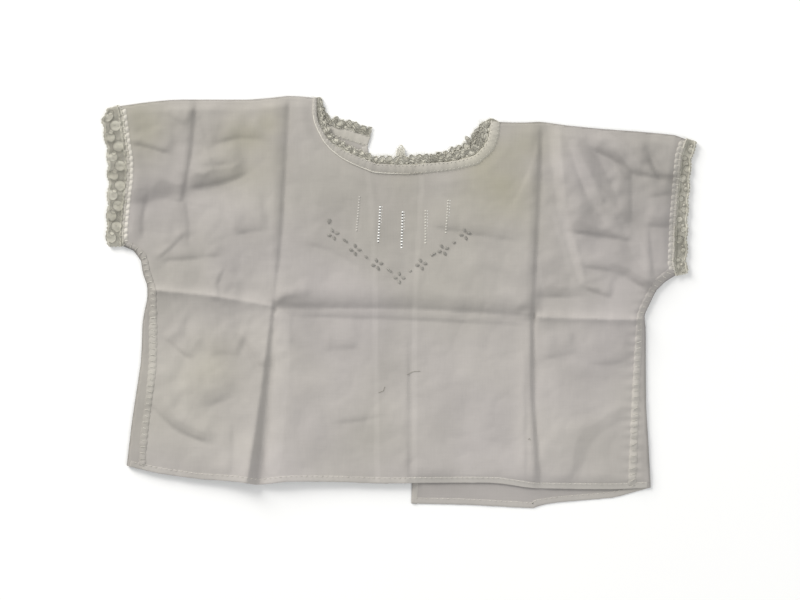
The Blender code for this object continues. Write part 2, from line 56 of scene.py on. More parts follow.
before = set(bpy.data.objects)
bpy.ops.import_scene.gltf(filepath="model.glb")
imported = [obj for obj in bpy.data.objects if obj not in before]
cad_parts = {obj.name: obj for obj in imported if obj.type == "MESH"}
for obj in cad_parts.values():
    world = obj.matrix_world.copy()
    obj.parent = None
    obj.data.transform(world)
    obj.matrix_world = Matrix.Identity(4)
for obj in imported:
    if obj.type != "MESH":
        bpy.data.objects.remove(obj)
CAD_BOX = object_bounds()
MM = 0.001

# Half the width of the floor
FLOOR_HALF = 2500

# Heights of the layers above the surface
MIDDLE = 1.15
FRONT = 2.3
BACK = 0.35
FRONT_EDGING = 1.9
BACK_EDGING = 0.6

# Turned edges: the radius of the fold, and how far in from a fold or an open edge the cloth lies flatter
FOLD_RADIUS = 1.3
FOLD_REACH = 7.0
OPEN_REACH = 8.0

# Depth of the lace's scallops, as a share of its width
SLEEVE_CUT = 0.12
NECK_CUT = 0.4

# A band that isn't drawn in by stitches: see padded_strip
UNPUFFED = (400.0, 0.0, 0.0, 0.0, 1.0)

# Outline of the front, and of the edges of the back panels: across, height
FRONT_HEM = (
    (-162.9, -98.1), (-143.1, -102.6), (-119.1, -105.9), (-95.1, -107.4), (-83.1, -109.3), (-66.3, -107.4),
    (-35.1, -107.6), (-11.1, -108.5), (31.5, -108.3), (58.5, -108.5), (80.1, -111.5), (96.9, -111.9),
    (128.1, -112.2), (151.2, -111.2),
)
RIGHT_SIDE = (
    (151.2, -111.2), (149.7, -82.8), (148.5, -64.8), (148.2, -40.8), (148.1, -14.2), (146.5, -9.6),
    (147.7, -7), (151.5, 0.7), (154.7, 7.4), (160.9, 13), (166.8, 16.4),
)
RIGHT_CUFF = (
    (166.8, 16.4), (165.2, 24), (165.6, 30), (166.2, 48.6), (168, 70.2), (169.5, 86.6), (173, 97.3),
)
RIGHT_SHOULDER = (
    (173, 97.3), (168.9, 99.6), (144.9, 102), (120.9, 103.8), (96.9, 106.2), (87.3, 108), (72.9, 107.4),
    (60.3, 107.9),
)
LEFT_SHOULDER = (
    (-50.8, 122.4), (-63.9, 123.6), (-75.9, 122.4), (-90.3, 121.2), (-133.5, 121.2), (-152.7, 119.4),
    (-168.1, 117.2),
)
LEFT_CUFF = (
    (-168.1, 117.2), (-166.8, 112.2), (-164.7, 96.6), (-162.9, 85.2), (-162.9, 73.2), (-164.4, 61.2),
    (-166.2, 42), (-165.9, 33.9),
)
LEFT_SIDE = (
    (-165.9, 33.9), (-162.5, 32.6), (-157, 29.9), (-154.6, 25.8), (-152.7, 14.4), (-149.6, 7.2),
    (-151.8, -3.6), (-153.3, -10.8), (-154.2, -33.8), (-156.2, -48.1), (-159.7, -71.1), (-162.9, -98.1),
)
BACK_LEFT_SLIT = ((-18.6, 93.5), (-14.7, 61.2), (-12.3, 1.2), (-10.8, -105.6))
BACK_RIGHT_SLIT = ((12.4, 78.6), (11.5, 61.2), (8.1, 1.2), (8.2, -109.1), (7.7, -120.8))
BACK_LEFT_HEM = ((-10.8, -105.6), (-83.1, -105.6), (-119.1, -103.4), (-143.1, -100.4), (-162.9, -98.1))
BACK_RIGHT_HEM = (
    (7.7, -120.8), (42.5, -121.6), (80, -123.6), (83.1, -122.1), (96.9, -120), (128.1, -117.3),
    (144.9, -112.9), (151.2, -111.2),
)

# Necklines, from the right shoulder round the front and from each shoulder to the slit at the back:
# across, height, width of the binding, width of the lace
FRONT_NECK = (
    (60.3, 107.9, 5, 4.2), (59.8, 101.3, 5.2, 5), (58.1, 95, 5.2, 5.2), (55.2, 89.9, 5.2, 4.8),
    (47.6, 83.2, 5, 4.6), (38.8, 80.7, 4.8, 4.6), (30.4, 79, 5, 4.6), (17.7, 77.7, 5.2, 4.6),
    (5.8, 76.7, 5.4, 4.6), (-6.8, 77.1, 5.4, 4.4), (-15.2, 77.9, 5.2, 4.2), (-27.8, 83, 5, 3.6),
    (-34.1, 86.4, 4.4, 3.8), (-40.5, 91.4, 3.4, 3.6), (-45.1, 96.9, 2.6, 3.4), (-49.7, 106.2, 2.2, 3.4),
    (-51.2, 113.3, 2.2, 3.2), (-50.8, 122.4, 2, 2.6),
)
BACK_LEFT_NECK = (
    (-50.8, 122.4, 1.6, 1.8), (-48.8, 112, 2.2, 2.2), (-45.4, 104.4, 3.8, 3.4), (-40.5, 101.1, 5, 4.6),
    (-34.1, 98.6, 5.8, 4.8), (-27.8, 96.5, 6.2, 3.8), (-18.6, 93.5, 6, 4.6),
)
BACK_RIGHT_NECK = (
    (60.3, 107.9, 2.2, 1.6), (56.6, 102, 4.2, 3.6), (53.6, 96.4, 4.4, 4.8), (49.6, 91.2, 4.4, 5.4),
    (43.6, 86.4, 4.4, 5.6), (37, 83.6, 4.4, 4.6), (29.6, 81.2, 4.4, 4.2), (20, 79.4, 4.4, 4.2),
    (12.4, 78.6, 4.4, 4.2),
)

# Middle of the felled seams on the front: across, height, width
LEFT_SEAM = (
    (-163.6, 35, 2.4), (-156.4, 31.6, 3.2), (-152.4, 27, 4), (-151, 20, 4.6), (-149.2, 13.3, 4.6),
    (-146.8, 6, 4.6), (-146.9, -4, 4.8), (-146.9, -16, 5.2), (-147.2, -38, 5.2), (-149.4, -58, 4.6),
    (-152.2, -79, 4.8), (-153.3, -97.6, 4.2),
)
RIGHT_SEAM = (
    (164.6, 19.4, 4.2), (161, 17, 4.4), (155.4, 12, 4.6), (151.2, 5.6, 4.4), (147.6, -1, 4.2),
    (144.4, -9, 4.2), (143.9, -17.7, 4.4), (143.1, -33, 4.6), (142.3, -46, 4.4), (141.8, -60, 4.8),
    (139.8, -110, 5.2),
)

# A fold that runs this way rises towards the window, and so faces away from it on its right.
FROM_WINDOW_LEFT = np.array((-0.73, -0.68))

# Pressed folds and soft creases of the front. A sharp one was pressed, and a soft one came from lying.
# A ridge stands on its line. A tuck rises on the left of its line, steeply and then less, and goes down again
# gently. A pleat does so too, but rises evenly to its edge.
# form, crispness, start across, start height, middle across, middle height, end across, end height, rise at
# the start, rise at the end, half width at the start, half width at the end, and the other side: on a ridge
# how much wider its left is, on the rest the share of the rise that the right side climbs
FRONT_FOLDS = (
    ("tuck", "sharp", -74.6, -4, -69.8, 42, -65, 128, 0.9, 1.9, 2.6, 7.5, 0.5),
    ("pleat", "sharp", -85, -122, -78.4, -56, -74, 0, 5.2, 0.9, 7.2, 1.4, 0.4),
    ("tuck", "sharp", 80.4, -12, 83.6, 44, 86.6, 118, 1.5, 1.7, 4, 5.5, 0.4),
    ("tuck", "sharp", 85.5, -124, 80.8, -54, 80.6, -4, 2.4, 1.4, 3.6, 2.4, 0.4),
    ("tuck", "soft", 76.6, -112, 76.4, -62, 76.8, -18, 0.7, 0.5, 2.2, 1.8, 0.3),
    ("ridge", "sharp", -150, 7.6, -112, 3.8, -73, -2.8, 2.2, 1.7, 4.2, 3.4, -0.4),
    ("ridge", "sharp", 81, -8.9, 115, -10.1, 150, -10.3, 2.3, 2.6, 5.4, 6.6, -0.45),
    ("tuck", "sharp", -78, -3.2, 8, -4.2, 86, -8.8, 2, 2, 8.5, 7.5, 0.15),
    ("tuck", "soft", -72, -8, 6, -10.8, 86, -14.5, 0.6, 0.6, 3.2, 3.2, 0.1),
    ("ridge", "soft", -77, -1, -66, 5, -50, 8, 1.3, 0.6, 3, 4, 0.2),
    ("ridge", "soft", -77, -4, -68, -14, -62, -28, 1.2, 0.5, 3, 5, 0.2),
    ("ridge", "soft", 76, -5, 68, 4, 58, 9, 1, 0.5, 3, 4, 0.2),
    ("tuck", "sharp", -129.6, 59, -124.2, 86, -120.6, 126, 0.8, 1.6, 2.2, 4, 0.4),
    ("pleat", "soft", -130, 65.5, -107, 69.6, -86, 78.5, 2.4, 2, 7.5, 7.5, 0.45),
    ("tuck", "soft", -128, 67.5, -107, 70.6, -90, 76, 0.8, 0.8, 3, 3, 0.2),
    ("pleat", "soft", -168, 56, -143, 61.6, -120, 62.5, 1.6, 1.5, 8.5, 8.5, 0.4),
    ("tuck", "soft", -152.6, 36, -153, 50, -149, 68, 1.2, 1.2, 4.5, 4.5, 0.3),
    ("tuck", "soft", -166, 95.8, -150, 92.6, -134, 87.5, 1.1, 1, 3.2, 3, 0.2),
    ("tuck", "soft", -114, 92.5, -98, 97.6, -78, 97, 1.2, 1, 5, 5, 0.3),
    ("tuck", "soft", -122, 80, -108, 81.6, -92, 84, 0.7, 0.7, 4, 4, 0.2),
    ("tuck", "soft", -142, 113, -134, 109, -127, 104, 0.7, 0.7, 3, 3, 0.2),
    ("tuck", "soft", -146, 24, -136, 32, -126, 42, 0.6, 0.6, 1.8, 1.8, 0.2),
    ("tuck", "soft", -146, 24, -126, 25.6, -102, 28, 0.9, 0.8, 4.5, 4, 0.2),
    ("tuck", "soft", -102, 38.5, -90, 41.5, -76, 42.5, 0.9, 0.8, 7, 7, 0.2),
    ("tuck", "soft", -105, 0, -108, 10, -103, 22, 0.7, 0.6, 2, 2, 0.3),
    ("tuck", "soft", -125, 32, -125.6, 50, -128, 66, 0.8, 0.8, 4, 4, 0.3),
    ("pleat", "sharp", 89, 116, 94.4, 62, 109, 8, 1.7, 1.3, 7, 3.4, 0.1),
    ("pleat", "soft", 97, 108, 108, 74, 128, 36, 1.6, 1.7, 6.5, 7.5, 0.1),
    ("tuck", "soft", 124, 34, 114, 58, 103, 88, 1.2, 0.8, 11, 4, 0.1),
    ("tuck", "soft", 134, 56, 124, 78, 109, 106, 1.3, 1.3, 9, 9, 0.1),
    ("tuck", "soft", 110, 93.5, 128, 85, 143, 73.5, 1.9, 1.9, 5, 5, 0.3),
    ("tuck", "soft", 139, 42, 139.4, 60, 139, 84, 1.1, 1.1, 5.5, 5.5, 0.3),
    ("tuck", "soft", 134, 78, 152, 74.5, 176, 73.5, 1.6, 1.3, 4, 3.5, 0.2),
    ("tuck", "soft", 158, 71, 152, 82, 146.5, 100, 1.4, 1.1, 5, 5, 0.3),
    ("tuck", "soft", 97, 42.5, 117, 39.4, 143, 35.6, 1.7, 1.3, 7.5, 2.6, 0.25),
    ("tuck", "soft", 104, 22, 132, 17, 156, 2, 1, 1.9, 5, 3.4, 0.25),
    ("tuck", "soft", 109, 8.8, 118, 5.2, 128, 2, 1, 1, 3, 3, 0.2),
    ("tuck", "soft", 76, 2.8, 95, 2.6, 116, 3.5, 0.9, 0.9, 6, 6, 0.2),
    ("tuck", "soft", 153.5, 10, 151.4, 28, 150, 48, 0.8, 0.7, 2.6, 2.6, 0.3),
    ("tuck", "soft", 146, 45.8, 157, 44.6, 170, 45.5, 1.3, 1.3, 4.5, 4.5, 0.2),
    ("tuck", "soft", 148, 61.5, 160, 64, 172, 66.5, 1, 1, 5, 5, 0.2),
    ("tuck", "soft", 83, 101, 78, 80, 67, 56, 0.8, 0.6, 3, 3.5, 0.2),
    ("tuck", "soft", 14, 46, 40, 41, 78, 35, 1, 1.1, 6, 6, 0.1),
    ("ridge", "soft", 40, 26, 60, 22, 80, 13, 0.8, 0.8, 6, 6, 0.2),
    ("tuck", "soft", -60, 36, -40, 30, -20, 18, 0.8, 0.7, 6, 6, 0.1),
    ("tuck", "soft", -152, -58, -134, -76.5, -110, -86, 1.8, 1.5, 5, 4.5, 0.4),
    ("tuck", "soft", -143, -19.5, -133, -28, -123, -36, 1.1, 1.1, 4, 4, 0.3),
    ("tuck", "soft", -98, -18.5, -89, -29, -82, -42, 1.1, 1.1, 5, 5, 0.2),
    ("tuck", "soft", -99.5, -106, -99, -88, -99, -70, 0.7, 0.7, 4.5, 4.5, 0.2),
    ("tuck", "soft", -122, -63.5, -108, -61, -94, -55, 0.9, 0.9, 9, 9, 0.2),
    ("tuck", "soft", -114, -33, -104, -31, -95, -34, 0.8, 0.8, 8, 8, 0.1),
    ("tuck", "soft", -42, -73.5, -22, -71, -4, -67, 0.5, 0.5, 3, 3, 0.1),
    ("tuck", "soft", -46, -29.5, -34, -28, -22, -28, 0.6, 0.6, 6, 6, 0.1),
    ("ridge", "soft", -60, -40, -48, -70, -50, -98, 0.9, 1, 10, 10, 0.2),
    ("ridge", "soft", 30, -30, 52, -56, 50, -96, 0.9, 0.9, 12, 12, 0.2),
    ("tuck", "soft", 6.6, -118, 6.8, -66, 6, -12, 0.6, 0.4, 2.4, 2.2, 0.3),
    ("pleat", "soft", 106, -114, 117, -82, 145, -65, 0.9, 0.8, 8, 6, 0.3),
    ("tuck", "soft", 110, -36.5, 126, -38, 144, -32.5, 0.8, 0.8, 8, 8, 0.1),
    ("tuck", "soft", 84, -34.5, 96, -33, 110, -29.5, 0.7, 0.7, 7, 7, 0.1),
)

# Creases of the two back panels, which lie on the surface: the same columns
BACK_FOLDS = (
    ("ridge", "sharp", -65.2, 120, -70.7, 25, -84, -104, 0.5, 0.5, 4, 5, 0.2),
    ("ridge", "sharp", 85.6, 105, 82, 20, 82.6, -120, 0.5, 0.5, 4, 4, 0.1),
    ("ridge", "sharp", -146, 7, -80, -1, -14, -4, 0.5, 0.5, 4, 4, 0.2),
    ("ridge", "sharp", 10, -6, 80, -8, 144, -9, 0.5, 0.5, 4, 4, 0.2),
    ("ridge", "soft", -150, 96, -120, 74, -96, 40, 0.4, 0.4, 4, 5, 0.2),
    ("ridge", "soft", -140, -40, -112, -62, -104, -92, 0.4, 0.4, 5, 5, 0.2),
    ("ridge", "soft", 96, 96, 112, 62, 138, 34, 0.4, 0.4, 4, 5, 0.2),
    ("ridge", "soft", 40, -30, 52, -60, 48, -96, 0.4, 0.4, 6, 6, 0.2),
    ("ridge", "soft", -50, 60, -46, 36, -30, 20, 0.4, 0.3, 5, 5, 0.2),
)

# Drawn-thread ladders on the chest: across and height of the top, across and height of the foot, whiteness
LADDERS = (
    (-23.3, 63.6, -25.1, 42.2, 0.3),
    (-10.9, 57.7, -12.1, 35.6, 1),
    (2.5, 54.6, 1.8, 31.9, 1),
    (16.1, 55.3, 16.1, 34.6, 0.6),
    (29.7, 61.5, 28.3, 40.8, 0.6),
)

# Ends of loose grey thread that lie on the front: start across, start height, middle across, middle height,
# end across, end height
LOOSE_THREADS = (
    (5, -43.6, 8.6, -41.7, 13, -41.3),
    (-12, -54.2, -9.2, -53.2, -8.2, -50.6),
    (77.4, -82.2, 78.2, -81.4, 78.7, -82.5),
)

# Patches of the cloth made paler or greyer: across, height, reach, how much lighter
PALER_OR_GREYER_PATCHES = (
    (-110, 54, 17, 0.05), (-157, 66, 11, -0.045), (-142, 62, 12, -0.03), (-157, 46, 7, -0.05),
    (158, 60, 11, -0.05), (158, 46, 8, -0.05), (114, 84, 9, -0.04), (112, 48, 8, -0.035),
    (138, 25, 8, -0.035), (146, 38, 8, 0.03), (95, 84, 6, 0.035), (108, 76, 7, 0.03),
    (-122, -14, 10, 0.045), (-104, -26, 9, -0.035), (-112, -54, 11, -0.03), (-124, -66, 10, 0.03),
    (-34, -26, 9, -0.025), (62, -84, 16, 0.025), (122, -58, 10, 0.03), (98, -84, 11, 0.02),
    (128, -27, 11, -0.035), (-60, -94, 9, -0.03), (-80, 88, 7, 0.03),
)

# Facets between the folds, with a painted highlight where they face the window and painted shade where they face
# away: start across, start height, middle across, middle height, end across, end height, half width at the
# start, half width at the end, how much lighter
LIT_AND_SHADED_FACETS = (
    (92, 106, 97, 58, 108.8, 13, 3.6, 2, 0.05),
    (89, 50, 91.5, 30, 95, 12, 3, 9, -0.055),
    (104, 95, 114, 70, 133, 43, 2.4, 5.6, 0.055),
    (110, 93, 119, 76, 127, 56, 4, 4.5, -0.055),
    (122, 100, 132, 93, 141, 82, 3.5, 3.2, 0.055),
    (119, 91, 129, 87.5, 137, 76, 2, 3, -0.08),
    (158, 96, 160, 88, 163, 82, 8, 5, 0.075),
    (149.5, 84, 155, 75.5, 166, 73, 1.6, 2.6, -0.1),
    (107, 45.5, 120, 42, 137, 37.5, 3.4, 0.8, -0.06),
    (128, 22, 138, 17.5, 150, 9, 1.5, 2.6, -0.09),
    (109, 9.5, 118, 6.8, 126, 3.6, 1.2, 1.4, -0.06),
    (138, 44, 142, 33, 148, 22, 4, 3.5, 0.04),
    (85, 6, 92, 6, 100, 6, 3.2, 3.2, -0.05),
    (-143.5, -58, -134, -72, -117, -80.5, 2.4, 2.8, -0.06),
    (-96, -21, -89, -28, -83, -38, 2.5, 4, -0.05),
    (-68.5, -10, -70.5, -52, -75.5, -98, 3.5, 5, 0.06),
    (-62, -6.4, 5, -8.2, 80, -12.4, 2.4, 2.4, -0.035),
    (-68, 1.4, 8, 0.2, 84, -5, 2.6, 2.6, -0.035),
    (-120, 66, -108, 68, -92, 74, 4.2, 3.4, -0.035),
)

# Old yellow stains: across, height, reach, strength
STAINS = (
    (58, 76, 26, 0.5), (74, 92, 20, 0.3), (-92, 92, 20, 0.4), (-78, 106, 12, 0.3), (-156, 104, 18, 0.3),
    (10, 66, 26, 0.15), (-112, -38, 20, 0.12),
)


def smooth_line(rows, pitch):
    """Points at an even pitch along a soft curve through the rows, and all their other columns with them."""
    rows = np.array(rows, float)
    ends = np.vstack((2 * rows[0] - rows[1], rows, 2 * rows[-1] - rows[-2]))
    dense = []
    for i in range(1, len(ends) - 2):
        before, start, stop, after = ends[i - 1 : i + 3]
        for t in np.linspace(0, 1, 12, endpoint=False):
            bend_start = (stop - before) / 4
            bend_stop = (after - start) / 4
            dense.append(
                (2 * t**3 - 3 * t**2 + 1) * start
                + (t**3 - 2 * t**2 + t) * bend_start
                + (3 * t**2 - 2 * t**3) * stop
                + (t**3 - t**2) * bend_stop
            )
    dense.append(rows[-1])
    dense = np.array(dense)
    travel = travelled(dense)
    count = max(2, int(round(travel[-1] / pitch)) + 1)
    wanted = np.linspace(0, travel[-1], count)
    return np.column_stack([np.interp(wanted, travel, dense[:, k]) for k in range(dense.shape[1])])


def travelled(line):
    """Length run along a line at each of its points."""
    return np.concatenate(([0], np.cumsum(np.hypot(*np.diff(line[:, :2], axis=0).T))))


def inward(line):
    """A unit normal at each point of a line, to the left of its direction."""
    step = np.gradient(line[:, :2], axis=0)
    length = np.hypot(step[:, 0], step[:, 1])
    return np.column_stack((-step[:, 1] / length, step[:, 0] / length))


def shifted(line, distance):
    """The line moved sideways to its left."""
    return line[:, :2] + inward(line) * np.reshape(distance, (-1, 1))


def lengthened(line, extra):
    """The line carried straight on past both its ends."""
    first = line[0] + (line[0] - line[1]) / np.hypot(*(line[0] - line[1])[:2]) * extra
    last = line[-1] + (line[-1] - line[-2]) / np.hypot(*(line[-1] - line[-2])[:2]) * extra
    return np.vstack((first, line, last))


def reach_to(points, line):
    """For each point: its distance from a line, its side, the share of the line run, and its foot there."""
    line = line[:, :2]
    best = np.full(len(points), np.inf)
    side = np.ones(len(points))
    along = np.zeros(len(points))
    foot = np.zeros((len(points), 2))
    for i, (start, stop) in enumerate(zip(line[:-1], line[1:])):
        step = stop - start
        t = np.clip((points - start) @ step / max(step @ step, 1e-12), 0, 1)
        near = start + t[:, None] * step
        away = points - near
        reach = np.hypot(away[:, 0], away[:, 1])
        closer = reach < best
        best[closer] = reach[closer]
        side[closer] = np.sign(step[0] * away[closer, 1] - step[1] * away[closer, 0])
        along[closer] = (i + t[closer]) / (len(line) - 1)
        foot[closer] = near[closer]
    return best, side, along, foot


def nearest(points, lines):
    """Distance of each point from the nearest of some lines."""
    return np.min([reach_to(points, line)[0] for line in lines], axis=0)


def inside(points, outline):
    """Whether each point lies within a closed outline."""
    crossed = np.zeros(len(points), bool)
    for (x0, y0), (x1, y1) in zip(outline, np.roll(outline, -1, axis=0)):
        spans = (y0 > points[:, 1]) != (y1 > points[:, 1])
        with np.errstate(divide="ignore", invalid="ignore"):
            cut = x0 + (points[:, 1] - y0) / (y1 - y0) * (x1 - x0)
        crossed ^= spans & (points[:, 0] < cut)
    return crossed


def smooth_step(value):
    """A soft rise from 0 to 1 as the value goes from 0 to 1."""
    value = np.clip(value, 0, 1)
    return value * value * (3 - 2 * value)


def rolling(points, size, seed):
    """Soft unevenness between -1 and 1, with hollows about this far apart."""
    return np.array([noise.noise(Vector((x / size, y / size, seed))) for x, y in points])


def crumpled(points, size, seed):
    """Domes with sharp creases between them, as cotton has after a wash: 0 in the creases and up to 1."""
    return np.abs(rolling(points, size, seed)) * 1.6


def creases(points, folds):
    """Height that the folds add at each point, and how grey they leave the cloth there.

    A facet that faces away from the window is given painted shade, greyer than its slope alone would make it,
    and one that faces the window a painted highlight, paler.
    """
    height = np.zeros(len(points))
    grey = np.zeros(len(points))
    uneven = 1 + 0.45 * rolling(points, 13.0, 3.5) + 0.2 * rolling(points, 5.0, 7.5)
    for form, crispness, *path, rise0, rise1, wide0, wide1, other in folds:
        line = smooth_line(np.reshape(path, (3, 2)), 6.0)
        run = (line[-1] - line[0]) / np.hypot(*(line[-1] - line[0]))
        turned_away = np.clip(0.25 - run @ FROM_WINDOW_LEFT, -0.7, 1)
        reach, side, along, _ = reach_to(points, line)
        width = wide0 + (wide1 - wide0) * along
        wave = np.sin(along * 9 + path[0]) * np.sin(along * 4 + path[1])
        rise = (rise0 + (rise1 - rise0) * along) * (1 + 0.25 * wave)
        ends = 0.25 if crispness == "soft" else 0.04
        fade = smooth_step(along / ends) * smooth_step((1 - along) / ends)
        rise *= np.where((along <= 0) | (along >= 1), 0, fade)
        if form == "ridge":
            share = reach / (width * (1 + side * other))
            if crispness == "soft":
                height += rise * np.exp(-(share**2))
            else:
                height += rise * np.exp(-share)
                # Painted shade on the side of a sharp ridge that faces away from the window, painted highlight on
                # the other side.
                grey += turned_away * rise * np.exp(-share) * np.where(side < 0, 1, -0.5)
            continue
        share = reach / (width * (uneven if crispness == "soft" else 1))
        if form == "tuck":
            climb = share * np.exp(1 - share)
        else:
            climb = np.minimum(share, 1) * np.exp(-np.maximum(share - 1, 0) / 2.5)
        height += rise * np.where(side > 0, climb, other * share / 3 * np.exp(1 - share / 3))
        facet = smooth_step(share * 3) * smooth_step((1.5 - share) * 1.6)
        gentle = other * smooth_step(share) * smooth_step((6 - share) / 4)
        # Painted shade on a facet that faces away from the window, painted highlight on one that faces it.
        grey += turned_away * rise * np.where(side > 0, facet, -gentle) * uneven
    return height, grey


class Outlines:
    """The lines that bound the front and the two back panels, at the spacing of the solid model."""

    pitch = 8.0
    neck_pitch = 5.0

    def __init__(self):
        self.hem = smooth_line(FRONT_HEM, self.pitch)
        self.right_side = smooth_line(RIGHT_SIDE, self.pitch)
        self.right_cuff = smooth_line(RIGHT_CUFF, self.pitch)
        self.right_shoulder = smooth_line(RIGHT_SHOULDER, self.pitch)
        self.neck = smooth_line(FRONT_NECK, self.neck_pitch)
        self.left_shoulder = smooth_line(LEFT_SHOULDER, self.pitch)
        self.left_cuff = smooth_line(LEFT_CUFF, self.pitch)
        self.left_side = smooth_line(LEFT_SIDE, self.pitch)
        self.back_left_neck = smooth_line(BACK_LEFT_NECK, self.neck_pitch)
        self.back_right_neck = smooth_line(BACK_RIGHT_NECK, self.neck_pitch)
        self.back_left_slit = smooth_line(BACK_LEFT_SLIT, 2 * self.pitch)
        self.back_right_slit = smooth_line(BACK_RIGHT_SLIT, 2 * self.pitch)
        self.back_left_hem = smooth_line(BACK_LEFT_HEM, self.pitch)
        self.back_right_hem = smooth_line(BACK_RIGHT_HEM, self.pitch)
        self.turned = (self.right_side, self.right_shoulder, self.left_shoulder, self.left_side)

    @staticmethod
    def joined(*arcs):
        return np.vstack([arc[:-1, :2] for arc in arcs])

    def front(self):
        right = (self.hem, self.right_side, self.right_cuff, self.right_shoulder)
        return self.joined(*right, self.neck, self.left_shoulder, self.left_cuff, self.left_side)

    def back_right(self):
        shared = (self.right_side, self.right_cuff, self.right_shoulder)
        return self.joined(*shared, self.back_right_neck, self.back_right_slit, self.back_right_hem)

    def back_left(self):
        shared = (self.left_shoulder, self.left_cuff, self.left_side)
        own = (self.back_left_hem, self.back_left_slit, self.back_left_neck)
        return self.joined(*shared, *(line[::-1] for line in own))


OUTLINES = Outlines()
RIGHT_SEAM_LINE = smooth_line(RIGHT_SEAM, 8.0)


def rounded_over(from_fold):
    """How far the cloth has come round a fold to its layer's height: 0 on the fold, and 1 past its radius."""
    return np.sqrt(np.clip(1 - (1 - np.clip(from_fold / FOLD_RADIUS, 0, 1)) ** 2, 0, 1))


def front_height(points):
    """Height of the front's upper side above the surface at each point."""
    from_fold = nearest(points, OUTLINES.turned)
    from_open = nearest(points, (OUTLINES.left_cuff, OUTLINES.right_cuff, OUTLINES.neck))
    lie = creases(points, FRONT_FOLDS)[0]
    lie += 0.5 + 1.2 * rolling(points, 42.0, 1.5) + 0.5 * crumpled(points, 24.0, 4.5)
    lie += 0.2 * crumpled(points, 11.0, 2.5) - 0.08 * crumpled(points, 6.5, 8.5)
    lie = np.maximum(lie, 0.0)
    # The stitches of the right seam draw the cloth beside it into small puckers.
    from_seam = reach_to(points, RIGHT_SEAM_LINE)[0]
    puckers = np.sin(points[:, 1] * math.tau / 6.3 + 3 * rolling(points, 19.0, 7.5))
    lie += 0.3 * np.exp(-((from_seam / 5.5) ** 2)) * puckers
    lie *= smooth_step(from_fold / FOLD_REACH) * (0.3 + 0.7 * smooth_step(from_open / OPEN_REACH))
    # The front's hem lies down on the back panel that shows below it.
    from_hem = reach_to(points, OUTLINES.hem)[0]
    over_back = smooth_step((points[:, 0] - 4) / 10)
    lie *= 1 - 0.8 * smooth_step((9 - from_hem) / 9) * over_back
    resting = 1.1 * smooth_step((5 - from_hem) / 5) * over_back
    round_over = rounded_over(from_fold)
    return MIDDLE + (FRONT - MIDDLE) * round_over + lie - resting * round_over


def back_height(points):
    """Height of the back panels' cloth above the surface at each point."""
    from_fold = nearest(points, OUTLINES.turned)
    lie = creases(points, BACK_FOLDS)[0] + 0.12 * (1 + rolling(points, 23.0, 6.5))
    lie *= smooth_step(from_fold / FOLD_REACH)
    return MIDDLE + (BACK - MIDDLE) * rounded_over(from_fold) + np.clip(lie, 0, 0.6)


def linear(hex_colour):
    """Linear colour from an sRGB hex value."""
    parts = [int(hex_colour[i : i + 2], 16) / 255 for i in (1, 3, 5)]
    return tuple(c / 12.92 if c <= 0.04045 else ((c + 0.055) / 1.055) ** 2.4 for c in parts) + (1.0,)


def add_node(tree, kind, inputs=None, **settings):
    """A node with its settings, and its inputs given as values or as the sockets that feed them."""
    node = tree.nodes.new(kind)
    for name, value in settings.items():
        setattr(node, name, value)
    for key, value in (inputs or {}).items():
        if isinstance(value, bpy.types.NodeSocket):
            tree.links.new(value, node.inputs[key])
        else:
            node.inputs[key].default_value = value
    return node


def new_material(name):
    """An empty node material with its output, and the tree to fill."""
    made = bpy.data.materials.new(name)
    made.use_nodes = True
    made.node_tree.nodes.clear()
    return made, made.node_tree


